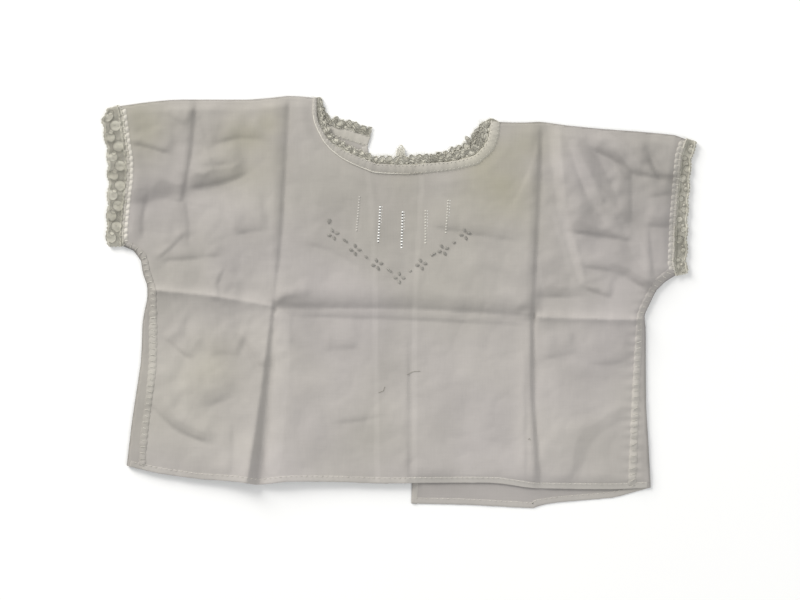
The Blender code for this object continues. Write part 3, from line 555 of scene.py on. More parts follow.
def white_batiste(name, base, turned):
    """Fine plain-weave cotton, washed thin: matt, with slubs in the yarn, faint blotches and yellow stains."""
    made, tree = new_material(name)
    place = add_node(tree, "ShaderNodeTexCoord").outputs["Object"]
    # Faint blotches come about 36 mm apart, and warmer and cooler patches about 90 mm apart.
    blotch = add_node(
        tree, "ShaderNodeTexNoise", {"Vector": place, "Scale": 28.0, "Detail": 4.0, "Roughness": 0.62}
    ).outputs["Fac"]
    patch = add_node(
        tree, "ShaderNodeTexNoise", {"Vector": place, "Scale": 11.0, "Detail": 2.0}, noise_dimensions="4D"
    ).outputs["Fac"]
    # Slubs are uneven stretches of yarn about 10 mm long, drawn about 0.9 mm wide so that they show. The
    # weave's threads are drawn 0.9 mm apart, coarser than real, so that they show too.
    slubs = []
    threads = []
    for way, stretch in (("X", (95.0, 1150.0, 1.0)), ("Y", (1150.0, 95.0, 1.0))):
        laid = add_node(tree, "ShaderNodeMapping", {"Vector": place, "Scale": stretch}).outputs["Vector"]
        slub = add_node(tree, "ShaderNodeTexNoise", {"Vector": laid, "Scale": 1.0, "Detail": 2.0})
        slubs.append(slub.outputs["Fac"])
        wave = {"Vector": place, "Scale": math.tau / (20 * 0.9 * MM), "Distortion": 0.6}
        threads.append(add_node(tree, "ShaderNodeTexWave", wave, bands_direction=way).outputs["Fac"])
    slub = add_node(tree, "ShaderNodeMath", {0: slubs[0], 1: slubs[1]}, operation="ADD").outputs[0]
    weave = add_node(tree, "ShaderNodeMath", {0: threads[0], 1: threads[1]}, operation="ADD").outputs[0]

    span = {"Value": patch, "From Min": 0.35, "From Max": 0.68}
    warm = add_node(tree, "ShaderNodeMapRange", span).outputs[0]
    tints = {"Factor": warm, "A": linear(base[0]), "B": linear(base[1])}
    colour = add_node(tree, "ShaderNodeMix", tints, data_type="RGBA").outputs["Result"]
    # The doubled tint also paints the highlight on the binding's rim.
    for attribute, tint in (("stain", "#9E9A7E"), ("doubled_and_highlight", turned)):
        share = add_node(tree, "ShaderNodeAttribute", attribute_name=attribute).outputs["Fac"]
        tints = {"Factor": share, "A": colour, "B": linear(tint)}
        colour = add_node(tree, "ShaderNodeMix", tints, data_type="RGBA").outputs["Result"]
    # The lightness attribute carries painted light and shade on the folds, facets and edges as well as the cloth's
    # own tone.
    tone = add_node(tree, "ShaderNodeAttribute", attribute_name="lightness").outputs["Fac"]
    for value, low, high, darker in ((blotch, 0.25, 0.75, 0.07), (slub, 0.6, 1.4, 0.025)):
        span = {"Value": value, "From Min": low, "From Max": high, "To Min": 1 - darker, "To Max": 1 + darker}
        part = add_node(tree, "ShaderNodeMapRange", span).outputs[0]
        tone = add_node(tree, "ShaderNodeMath", {0: tone, 1: part}, operation="MULTIPLY").outputs[0]
    colour = add_node(tree, "ShaderNodeVectorMath", {0: colour, "Scale": tone}, operation="SCALE").outputs[0]

    relief = add_node(tree, "ShaderNodeMath", {0: weave, 1: 0.12}, operation="MULTIPLY").outputs[0]
    relief = add_node(tree, "ShaderNodeMath", {0: relief, 1: slub}, operation="ADD").outputs[0]
    normal = add_node(
        tree, "ShaderNodeBump", {"Height": relief, "Strength": 0.25, "Distance": 0.15 * MM}
    ).outputs["Normal"]
    look = {"Base Color": colour, "Roughness": 0.92, "Sheen Weight": 0.12, "Sheen Roughness": 0.5}
    look.update({"Specular IOR Level": 0.25, "Normal": normal})
    shader = add_node(tree, "ShaderNodeBsdfPrincipled", look)
    add_node(tree, "ShaderNodeOutputMaterial", {"Surface": shader.outputs[0]})
    return made


def spun_thread(name, dark, pale, roughness, sheen, grain):
    """Cotton thread: tiny light and dark steps along it from the twist, and a soft matt or silky face."""
    made, tree = new_material(name)
    place = add_node(tree, "ShaderNodeTexCoord").outputs["Object"]
    steps = {"Vector": place, "Scale": grain, "Detail": 2.0}
    twist = add_node(tree, "ShaderNodeTexNoise", steps).outputs["Fac"]
    age = add_node(tree, "ShaderNodeTexNoise", {"Vector": place, "Scale": 70.0, "Detail": 2.0}).outputs["Fac"]
    both = add_node(tree, "ShaderNodeMath", {0: twist, 1: age}, operation="ADD").outputs[0]
    span = {"Value": both, "From Min": 0.75, "From Max": 1.25}
    share = add_node(tree, "ShaderNodeMapRange", span).outputs[0]
    tints = {"Factor": share, "A": linear(dark), "B": linear(pale)}
    colour = add_node(tree, "ShaderNodeMix", tints, data_type="RGBA").outputs["Result"]
    bump = {"Height": twist, "Strength": 0.4, "Distance": 0.1 * MM}
    normal = add_node(tree, "ShaderNodeBump", bump).outputs["Normal"]
    look = {"Base Color": colour, "Roughness": roughness, "Sheen Weight": sheen, "Normal": normal}
    shader = add_node(tree, "ShaderNodeBsdfPrincipled", look)
    add_node(tree, "ShaderNodeOutputMaterial", {"Surface": shader.outputs[0]})
    return made


def matt_paper(name, colour):
    """Smooth matt white paper under the blouse, with a faint mottling."""
    made, tree = new_material(name)
    place = add_node(tree, "ShaderNodeTexCoord").outputs["Object"]
    mottle = add_node(tree, "ShaderNodeTexNoise", {"Vector": place, "Scale": 9.0, "Detail": 3.0}).outputs["Fac"]
    share = add_node(tree, "ShaderNodeMapRange", {"Value": mottle, "To Min": 0.0, "To Max": 0.12}).outputs[0]
    tints = {"Factor": share, "A": linear(colour), "B": linear("#E4E3E0")}
    shade = add_node(tree, "ShaderNodeMix", tints, data_type="RGBA").outputs["Result"]
    shader = add_node(tree, "ShaderNodeBsdfPrincipled", {"Base Color": shade, "Roughness": 0.9})
    add_node(tree, "ShaderNodeOutputMaterial", {"Surface": shader.outputs[0]})
    return made


def once(name, build, *words):
    """A material by name, made the first time that it is asked for."""
    return bpy.data.materials.get(name) or build(name, *words)


def cloth_finish():
    """The blouse's batiste, greyed by age, paler where it lies double and at a painted highlight on the binding's
    rim.
    """
    return once("white_cotton_batiste", white_batiste, ("#A9A4A1", "#A6A29B"), "#CFCBC1")


# Threads: darker colour, paler colour, roughness, sheen, steps of the twist in a metre (0.3 to 0.4 mm apart)
THREADS = {
    # Lace cotton, yellowed to cream, with a faint gleam where it is wound
    "cotton_lace_thread": ("#B3B0A2", "#D6D3C7", 0.85, 0.1, 2600.0),
    # Finer cotton of the net: a like cream, with less gleam
    "fine_net_thread": ("#B4B1A5", "#D2CFC3", 0.9, 0.05, 2600.0),
    # Gimp, the outline thread of the lace: dull, and darker than the lace as painted shade, so its pattern stands
    # out
    "grey_gimp_thread": ("#858278", "#A3A095", 0.9, 0.05, 2600.0),
    # Bleached floss: the whitest thing on the blouse, with a silky face
    "bleached_white_floss": ("#E9E9E6", "#FFFFFC", 0.6, 0.2, 2600.0),
    # Sewing cotton: hard-twisted and smooth, paler than the cloth
    "white_sewing_thread": ("#BDBAB0", "#D9D6CC", 0.7, 0.1, 3200.0),
    # Embroidery floss: grey and loosely twisted, the silkiest thread
    "grey_embroidery_floss": ("#86837D", "#AAA7A0", 0.55, 0.2, 2800.0),
    # Threads of the cloth itself, bundled by the drawn work: a little paler than the cloth
    "drawn_cotton_thread": ("#B1ADA7", "#CBC8C1", 0.7, 0.1, 2600.0),
}


def spun(name):
    """A thread's finish by its name in the table."""
    return once(name, spun_thread, *THREADS[name])


def placed(name, data):
    """A new object in the scene."""
    made = bpy.data.objects.new(name, data)
    bpy.context.scene.collection.objects.link(made)
    return made


def mesh_object(name, points, faces, material, smooth=True):
    """A mesh object from points in millimetres."""
    mesh = bpy.data.meshes.new(name)
    mesh.from_pydata((np.asarray(points) * MM).tolist(), [], [tuple(int(i) for i in f) for f in faces])
    mesh.materials.append(material)
    mesh.polygons.foreach_set("use_smooth", [smooth] * len(mesh.polygons))
    mesh.update()
    return placed(name, mesh)


def set_attribute(made, name, values):
    """A value for each point of a mesh, which its material reads."""
    attribute = made.data.attributes.new(name, "FLOAT", "POINT")
    attribute.data.foreach_set("value", np.asarray(values, np.float32))


def cloth_tone(flat, on_back):
    """How light and stained the cloth is: from what lies behind it, from age, and from painted light and shade."""
    across, up = flat.T
    seen = ~on_back
    to_right, right_of, _, _ = reach_to(flat, OUTLINES.back_right_slit)
    to_left, left_of, _, _ = reach_to(flat, OUTLINES.back_left_slit)
    lightness = np.ones(len(flat))
    # The slit's turned edges show through the front, paler, and the front is greyer between them.
    for reach, side, way in ((to_right, right_of, 1), (to_left, left_of, -1)):
        turned = smooth_step((3.6 - np.abs(reach - 1.8) * 2) / 1.4)
        lightness += 0.06 * turned * (side == way) * seen
    lightness -= 0.018 * ((right_of < 0) & (left_of > 0)) * seen
    lightness += 0.05 * rolling(flat, 38.0, 21.5) + 0.03 * rolling(flat, 15.0, 31.5)
    # Painted shade and highlight on the folds' facets, by how they face the window.
    lightness -= 0.034 * np.clip(creases(flat, FRONT_FOLDS)[1], -1.6, 3) * seen
    ragged = 1 + 0.5 * rolling(flat, 11.0, 16.5)
    for x, y, wide, lighter in PALER_OR_GREYER_PATCHES:
        away = np.hypot(across - x, up - y) / (wide * ragged)
        lightness += lighter * np.exp(-(away**4)) * seen
    # Painted highlight and shade on the facets between the folds.
    for *path, half0, half1, lighter in LIT_AND_SHADED_FACETS:
        reach, _, along, _ = reach_to(flat, smooth_line(np.reshape(path, (3, 2)), 5.0))
        half = (half0 + (half1 - half0) * along) * (0.6 + 0.4 * ragged)
        lightness += lighter * smooth_step((half - reach) / 1.6 + 0.5) * seen
    # Painted light and shade: below the middle the front is paler and the backs are greyer, and shoulders and
    # sleeves are greyer on both.
    lightness += np.where(on_back, -0.05, 0.07) * smooth_step(-up / 50) - 0.06 * smooth_step(up / 100)
    lightness -= 0.07 * smooth_step((np.abs(across) - 80) / 60) * smooth_step(up / 50)
    # Painted shade along the folded edges, darkest on the fold and gone a millimetre in.
    lightness -= 0.34 * smooth_step((1.0 - nearest(flat, OUTLINES.turned)) / 0.9)
    # The strips outside the felled seams are greyer.
    for seam, outer, greyer in ((LEFT_SEAM, -1, 0.16), (RIGHT_SEAM, 1, 0.02)):
        reach, side, _, _ = reach_to(flat, smooth_line(seam, 8.0))
        lightness -= greyer * (side == outer) * smooth_step(reach / 2.5) * (reach < 14) * seen
    stain = np.zeros(len(flat))
    for x, y, wide, strength in STAINS:
        away = np.hypot(across - x, up - y) / wide
        stain = np.maximum(stain, strength * np.exp(-(away**2)))
    stain *= 1 + 0.6 * rolling(flat, 17.0, 12.5)
    return lightness, np.clip(stain, 0, 0.8)


def paint(made, doubled_and_highlight, lighter=1.0, stain=0.0, on_back=False):
    """Gives a cloth piece its three values, which go on those of the cloth that it lies on."""
    flat = np.array([v.co[:2] for v in made.data.vertices]) / MM
    lightness, old = cloth_tone(flat, np.full(len(flat), on_back))
    set_attribute(made, "doubled_and_highlight", np.broadcast_to(doubled_and_highlight, len(flat)))
    set_attribute(made, "lightness", lightness * lighter)
    set_attribute(made, "stain", np.clip(old + stain, 0, 0.8))


def keep(made, slot, *nodes):
    """Rides the piece on the blouse and lets it stand for solid nodes; slot is not used."""
    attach(made, "root")
    if nodes:
        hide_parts(*nodes)
    return made


def lattice(columns, rows, outline):
    """The points of a grid, and which of its cells have their middles inside an outline."""
    points = np.column_stack([part.ravel() for part in np.meshgrid(columns, rows)])
    middles = np.meshgrid((columns[:-1] + columns[1:]) / 2, (rows[:-1] + rows[1:]) / 2)
    kept = inside(np.column_stack([part.ravel() for part in middles]), outline)
    return points, kept.reshape(len(rows) - 1, len(columns) - 1)


def snap_rim(points, quads, outline):
    """Moves the points on a sheet's rim on to its outline."""
    uses = np.bincount(quads.ravel(), minlength=len(points))
    rim = (uses > 0) & (uses < 4)
    closed = np.vstack((outline, outline[:1]))
    points = points.copy()
    points[rim] = reach_to(points[rim], closed)[3]
    return points


def tread(columns, wanted, cell):
    """Grid lines about one cell apart that also pass through each wanted place."""
    stops = sorted([columns[0], *wanted, columns[1]])
    lines = []
    for low, high in zip(stops, stops[1:]):
        count = max(1, int(round((high - low) / cell)))
        lines += list(np.linspace(low, high, count, endpoint=False))
    return np.array(lines + [stops[-1]])


class BLOUSE_PG_cloth(bpy.types.PropertyGroup):
    """Sizes of the cloth."""

    cell: bpy.props.FloatProperty(
        name="Front mesh size", description="Spacing of the front's mesh", default=1.06 * MM, unit="LENGTH"
    )
    back_cell: bpy.props.FloatProperty(
        name="Back mesh size", description="Spacing of the back's mesh", default=2.4 * MM, unit="LENGTH"
    )
    slot_width: bpy.props.FloatProperty(
        name="Ladder width", description="Width of a drawn-thread ladder", default=0.6 * MM, unit="LENGTH"
    )
    hem_depth: bpy.props.FloatProperty(
        name="Hem depth", description="Depth of the turned hems", default=3.6 * MM, unit="LENGTH"
    )
    placket_depth: bpy.props.FloatProperty(
        name="Slit hem depth", description="Depth of the hems at the back slit", default=3.4 * MM, unit="LENGTH"
    )


class BLOUSE_PG_lace(bpy.types.PropertyGroup):
    """Sizes of the lace."""

    thread: bpy.props.FloatProperty(
        name="Thread", description="Thickness of the lace thread", default=0.52 * MM, unit="LENGTH"
    )
    mesh_pitch: bpy.props.FloatProperty(
        name="Mesh pitch", description="Spacing of the lace's net", default=1.1 * MM, unit="LENGTH"
    )
    repeat: bpy.props.FloatProperty(
        name="Repeat", description="Length of one scallop of the sleeve lace", default=12.3 * MM, unit="LENGTH"
    )
    neck_repeat: bpy.props.FloatProperty(
        name="Neck repeat", description="Length of one scallop of the neck lace", default=4.6 * MM, unit="LENGTH"
    )
    disc: bpy.props.FloatProperty(
        name="Disc", description="Width of the wound discs in the sleeve lace", default=5.8 * MM, unit="LENGTH"
    )


class BLOUSE_PG_stitch(bpy.types.PropertyGroup):
    """Sizes of the sewing and the embroidery."""

    thread: bpy.props.FloatProperty(
        name="Sewing thread", description="Thickness of the sewing thread", default=0.36 * MM, unit="LENGTH"
    )
    hem_spacing: bpy.props.FloatProperty(
        name="Hem stitches", description="Spacing of the stitches along the hems", default=3.1 * MM, unit="LENGTH"
    )
    seam_spacing: bpy.props.FloatProperty(
        name="Seam wraps", description="Spacing of the wraps over the side seams", default=3.6 * MM, unit="LENGTH"
    )
    rung_spacing: bpy.props.FloatProperty(
        name="Rungs", description="Spacing of the rungs of the ladders", default=1.65 * MM, unit="LENGTH"
    )
    petal: bpy.props.FloatProperty(
        name="Petal", description="Length of an embroidered petal", default=2.0 * MM, unit="LENGTH"
    )
    garland_half: bpy.props.FloatProperty(
        name="Garland reach", description="Half width of the garland", default=39.5 * MM, unit="LENGTH"
    )
    garland_rise: bpy.props.FloatProperty(
        name="Garland rise", description="Rise of the garland to its ends", default=26.0 * MM, unit="LENGTH"
    )


class BLOUSE_PG_stage(bpy.types.PropertyGroup):
    """Floor, lights and camera."""

    floor_colour: bpy.props.StringProperty(
        name="Floor colour", description="sRGB hex colour of the floor", default="#F7F7F6"
    )
    key_power: bpy.props.FloatProperty(
        name="Key light", description="Power of the large lamp at the upper left", default=52.0, unit="POWER"
    )
    sky: bpy.props.FloatProperty(name="Sky", description="Strength of the even light from all round", default=0.46)
    camera_height: bpy.props.FloatProperty(
        name="Camera height", description="Height of the camera over the blouse", default=1.2, unit="LENGTH"
    )
    view_width: bpy.props.FloatProperty(
        name="View width", description="Width of the surface in the picture", default=0.48, unit="LENGTH"
    )


class BLOUSE_OT_cloth(bpy.types.Operator):
    """Lays out the blouse's cloth: the front, folded over at the shoulders and sides on to two back panels"""

    bl_idname = "blouse.cloth"
    bl_label = "Cloth"

    def execute(self, context):
        sizes = context.scene.blouse_cloth
        half_slot = sizes.slot_width / MM / 2
        low, high = (np.array(corner) / MM for corner in CAD_BOX)
        edges = []
        for top_x, _, foot_x, _, _ in LADDERS:
            middle = (top_x + foot_x) / 2
            edges += [middle - half_slot, middle + half_slot]

        points = []
        faces = []
        heights = []
        backs = []
        for on_back, outline in (
            (False, OUTLINES.front()),
            (True, OUTLINES.back_left()),
            (True, OUTLINES.back_right()),
        ):
            cell = (sizes.back_cell if on_back else sizes.cell) / MM
            columns = tread((low[0] - 2, high[0] + 2), [] if on_back else edges, cell)
            rows = tread((low[1] - 2, high[1] + 2), [], cell)
            places, kept = lattice(columns, rows, outline)
            if not on_back:
                kept &= ~self.slots(columns, rows, half_slot)
            row, column = np.nonzero(kept)
            first = row * len(columns) + column
            quads = np.column_stack((first, first + 1, first + 1 + len(columns), first + len(columns)))
            moved = snap_rim(places, quads, outline)
            if on_back:
                quads = quads[:, ::-1]
            else:
                chest = (np.abs(places[:, 0]) < 40) & (places[:, 1] > 25) & (places[:, 1] < 68)
                moved[chest] = places[chest]
                moved = self.lean(moved)
            used = np.unique(quads)
            index = np.full(len(moved), -1)
            index[used] = np.arange(len(used)) + sum(len(p) for p in points)
            moved = moved[used]
            points.append(moved)
            heights.append(back_height(moved) if on_back else front_height(moved))
            backs.append(np.full(len(used), on_back))
            faces.append(index[quads])
        flat = np.vstack(points)
        height = np.concatenate(heights)
        made = mesh_object("blouse_cloth", np.column_stack((flat, height)), np.vstack(faces), cloth_finish())
        lightness, stain = cloth_tone(flat, np.concatenate(backs))
        set_attribute(made, "lightness", lightness)
        set_attribute(made, "stain", stain)
        set_attribute(made, "doubled_and_highlight", np.zeros(len(flat)))
        keep(made, "cotton", "body")
        return {"FINISHED"}

    @staticmethod
    def slots(columns, rows, half_slot):
        """Which grid cells lie in a drawn-thread ladder."""
        across = (columns[:-1] + columns[1:]) / 2
        down = (rows[:-1] + rows[1:]) / 2
        cut = np.zeros((len(down), len(across)), bool)
        for top_x, top_y, foot_x, foot_y, white in LADDERS:
            if white < 0.8:
                continue
            middle = (top_x + foot_x) / 2
            cut |= (np.abs(down - (top_y + foot_y) / 2) < (top_y - foot_y) / 2)[:, None] & (
                np.abs(across - middle) < half_slot
            )
        return cut

    @staticmethod
    def lean(places):
        """Tilts the chest's grid as the ladders lean."""
        middles = [(row[0] + row[2]) / 2 for row in LADDERS]
        leans = [(row[0] - row[2]) / (row[1] - row[3]) for row in LADDERS]
        slope = np.interp(places[:, 0], [-45, *middles, 45], [0, *leans, 0])
        centre = np.interp(places[:, 0], middles, [(row[1] + row[3]) / 2 for row in LADDERS])
        away = places[:, 1] - centre
        fade = smooth_step((26 - np.abs(away)) / 14)
        moved = places.copy()
        moved[:, 0] += slope * away * fade
        return moved


def padded_strip(name, line, half, base, crown, puffs, material, closed_low=None, blunt=6):
    """A raised band along a line.

    half is its half width at each point, base gives the height it lies at, crown how far it stands up, and
    puffs (spacing, depth, waist, slant, sharpness) how it swells between the stitches that draw it in. Its
    lower side lies just under the upper one, or at the height closed_low, and blunt is how square it is.
    """
    spacing, depth, waist, slant, sharpness = puffs
    run = travelled(line)
    normal = inward(line)
    shares = np.array([-1.0, -0.92, -0.72, -0.4, 0.0, 0.4, 0.72, 0.92, 1.0])
    count = len(shares)
    rows = []
    for k in range(len(line)):
        phase = (run[k] + slant * shares * half[k]) / spacing
        swell = np.abs(np.sin(math.pi * phase)) ** sharpness
        uneven = 1 + 0.4 * noise.noise(Vector((run[k] / 2.7, half[k], 3.5)))
        wide = half[k] * (1 - waist * (1 - swell)) * (1 + 0.3 * (uneven - 1))
        place = line[k, :2] + normal[k] * (shares * wide)[:, None]
        lift = crown * (1 - np.abs(shares) ** blunt) * (1 - depth * (1 - swell)) * uneven
        rows.append(np.column_stack((place, lift)))
    rows = np.array(rows)
    flat = rows[:, :, :2].reshape(-1, 2)
    ground = base(flat)
    top = np.column_stack((flat, ground + rows[:, :, 2].ravel()))
    low = np.column_stack((flat, ground - 0.12 if closed_low is None else np.full(len(flat), closed_low)))
    points = np.vstack((top, low))
    size = len(top)
    faces = []
    for k in range(len(line) - 1):
        for j in range(count - 1):
            a = k * count + j
            faces.append((a, a + count, a + count + 1, a + 1))
            faces.append((size + a, size + a + 1, size + a + count + 1, size + a + count))
        first = k * count
        last = first + count - 1
        faces.append((first, size + first, size + first + count, first + count))
        faces.append((last, last + count, size + last + count, size + last))
    for k in (0, len(line) - 1):
        for j in range(count - 1):
            a = k * count + j
            ring = (a, a + 1, size + a + 1, size + a)
            faces.append(ring if k == 0 else ring[::-1])
    made = mesh_object(name, points, faces, material)
    bm = bmesh.new()
    bm.from_mesh(made.data)
    bmesh.ops.recalc_face_normals(bm, faces=bm.faces)
    bm.to_mesh(made.data)
    bm.free()
    return made


def row_heights(points, base, lift):
    """Points laid at a height over the cloth."""
    return np.column_stack((points, base(points) + lift))


class BLOUSE_OT_turnings(bpy.types.Operator):
    """Makes the turned hems, the folds at the back slit, the felled side seams and the gathered sleeve ends"""

    bl_idname = "blouse.turnings"
    bl_label = "Hems and seams"

    def execute(self, context):
        sizes = context.scene.blouse_cloth
        hem = sizes.hem_depth / MM / 2
        placket = sizes.placket_depth / MM / 2
        finish = cloth_finish()
        # name, rows, half width, base, crown, how double it looks, on the back
        strips = (
            ("front_hem", FRONT_HEM, hem, front_height, 0.24, 0.12, False),
            ("back_right_hem", BACK_RIGHT_HEM, hem, back_height, 0.24, 0.24, True),
            ("back_left_hem", BACK_LEFT_HEM[::-1], hem, back_height, 0.24, 0.2, True),
            ("back_right_slit_hem", BACK_RIGHT_SLIT, placket, back_height, 0.2, 0.3, True),
            ("back_left_slit_hem", BACK_LEFT_SLIT[::-1], placket, back_height, 0.2, 0.3, True),
        )
        for name, rows, half, base, crown, doubled_and_highlight, on_back in strips:
            line = shifted(smooth_line(rows, 0.9), half)
            if name == "front_hem":
                line = line[2:-2]
            puffs = UNPUFFED if "slit" in name else (3.1, 0.3, 0.0, 0.0, 0.7)
            made = padded_strip(name, line, np.full(len(line), half), base, crown, puffs, finish)
            if name == "front_hem":
                across = np.array([v.co[0] for v in made.data.vertices]) / MM
                doubled_and_highlight = doubled_and_highlight + 0.24 * smooth_step((across + 20) / 40)
            paint(made, doubled_and_highlight, on_back=on_back)
            keep(made, "cotton")
        for name, rows in (("left_side_seam", LEFT_SEAM), ("right_side_seam", RIGHT_SEAM)):
            line = smooth_line(rows, 0.55)
            half = line[:, 2] / 2
            puffs = (3.9, 0.45, 0.2, 0.3, 0.6)
            made = padded_strip(name, line, half, front_height, 0.5, puffs, finish, blunt=4)
            height = np.array([v.co[1] for v in made.data.vertices]) / MM
            upper = smooth_step(-height / 12) * (0.34 - 0.3 * smooth_step((-height - 42) / 20))
            bright = 0.9 * upper if rows is LEFT_SEAM else 0.2 * smooth_step(-height / 12)
            paint(made, 0.04 + bright, 0.91 if rows is LEFT_SEAM else 0.96, 0.03)
            keep(made, "cotton")
        for name, rows in (("left_cuff_roll", LEFT_CUFF), ("right_cuff_roll", RIGHT_CUFF)):
            line = shifted(smooth_line(rows, 0.45), 3.0)[5:-5]
            half = np.full(len(line), 1.25)
            made = padded_strip(name, line, half, front_height, 0.5, (3.6, 1.4, 0.5, 0.1, 0.7), finish, blunt=4)
            paint(made, *((0.75, 1.09) if rows is LEFT_CUFF else (0.5, 1.02)))
            keep(made, "cotton")
            line = shifted(smooth_line(rows, 0.6), 1.0)[2:-2]
            half = np.full(len(line), 1.0)
            made = padded_strip(f"{name}_edge", line, half, front_height, 0.3, UNPUFFED, finish, blunt=2)
            paint(made, 0.4, 1.0, 0.14)
            keep(made, "cotton")
        return {"FINISHED"}


# name, rows, side of the line that the edging is on, height of its lace, crown of its binding
NECKS = (
    ("front", FRONT_NECK, -1, FRONT_EDGING, 0.8),
    ("back_left", BACK_LEFT_NECK, 1, BACK_EDGING, 0.5),
    ("back_right", BACK_RIGHT_NECK, -1, BACK_EDGING, 0.5),
)


class BLOUSE_OT_binding(bpy.types.Operator):
    """Makes the bias bindings that hold the neckline"""

    bl_idname = "blouse.binding"
    bl_label = "Neck binding"

    def execute(self, context):
        finish = cloth_finish()
        for name, rows, way, height, crown in NECKS:
            line = smooth_line(rows, 0.5)
            half = line[:, 2] / 2 + 0.35
            middle = shifted(line, way * (line[:, 2] / 2 - 0.3))
            low, base = (height - 0.75, front_height) if name == "front" else (0.12, back_height)
            puffs = (2.4, 0.22, 0.04, 0.5, 0.7)
            made = padded_strip(f"binding_{name}", middle, half, base, crown, puffs, finish, low, 2.6)
            across = np.array([v.co[0] for v in made.data.vertices]) / MM
            bright = smooth_step((across + 10) / 60) if name == "front" else np.full(len(across), 0.6)
            paint(made, 0.12 + 0.4 * bright, 0.97, 0.05 + 0.16 * bright)
            keep(made, "binding", f"neck_binding_{name}")
            if name == "front":
                # A thin raised rim along the left of the front binding, given the full pale tint and made lighter
                # as a painted highlight.
                rim = line[(line[:, 0] < 14) & (line[:, 1] < 112)][:, :2]
                half = 0.05 + 0.35 * smooth_step((14 - rim[:, 0]) / 24)
                made = padded_strip("binding_highlight_rim", rim, half, front_height, 0.75, UNPUFFED, finish, blunt=2)
                paint(made, 1.0, 1.1)
                keep(made, "binding")
        return {"FINISHED"}


def chain_object(name, chains):
    """A mesh of loose threads, each a chain of points in millimetres."""
    points = np.vstack(chains) * MM
    edges = []
    first = 0
    for chain in chains:
        edges += [(first + i, first + i + 1) for i in range(len(chain) - 1)]
        first += len(chain)
    mesh = bpy.data.meshes.new(name)
    mesh.from_pydata(points.tolist(), edges, [])
    return placed(name, mesh)


def new_tree(name, sockets):
    """A Geometry Nodes tree with a geometry in and out, and named inputs."""
    tree = bpy.data.node_groups.new(name, "GeometryNodeTree")
    tree.interface.new_socket("Geometry", in_out="INPUT", socket_type="NodeSocketGeometry")
    tree.interface.new_socket("Geometry", in_out="OUTPUT", socket_type="NodeSocketGeometry")
    for label, kind, value in sockets:
        socket = tree.interface.new_socket(label, in_out="INPUT", socket_type=kind)
        if value is not None:
            socket.default_value = value
    return tree


def thread_tree():
    """Turns chains of edges into round threads."""
    found = bpy.data.node_groups.get("round_threads")
    if found:
        return found
    tree = new_tree(
        "round_threads",
        (
            ("Thickness", "NodeSocketFloat", 0.0004),
            ("Sides", "NodeSocketInt", 4),
            ("Material", "NodeSocketMaterial", None),
        ),
    )
    given = add_node(tree, "NodeGroupInput").outputs
    radius = add_node(tree, "ShaderNodeMath", {0: given["Thickness"], 1: 0.5}, operation="MULTIPLY").outputs[0]
    path = add_node(tree, "GeometryNodeMeshToCurve", {"Mesh": given["Geometry"]}).outputs[0]
    ring = add_node(
        tree, "GeometryNodeCurvePrimitiveCircle", {"Resolution": given["Sides"], "Radius": radius}
    ).outputs[0]
    tube = add_node(
        tree, "GeometryNodeCurveToMesh", {"Curve": path, "Profile Curve": ring, "Fill Caps": True}
    ).outputs[0]
    smooth = add_node(tree, "GeometryNodeSetShadeSmooth", {"Geometry": tube}).outputs[0]
    whole = add_node(tree, "GeometryNodeRealizeInstances", {"Geometry": smooth}).outputs[0]
    finished = add_node(
        tree, "GeometryNodeSetMaterial", {"Geometry": whole, "Material": given["Material"]}
    ).outputs[0]
    add_node(tree, "NodeGroupOutput", {"Geometry": finished})
    return tree


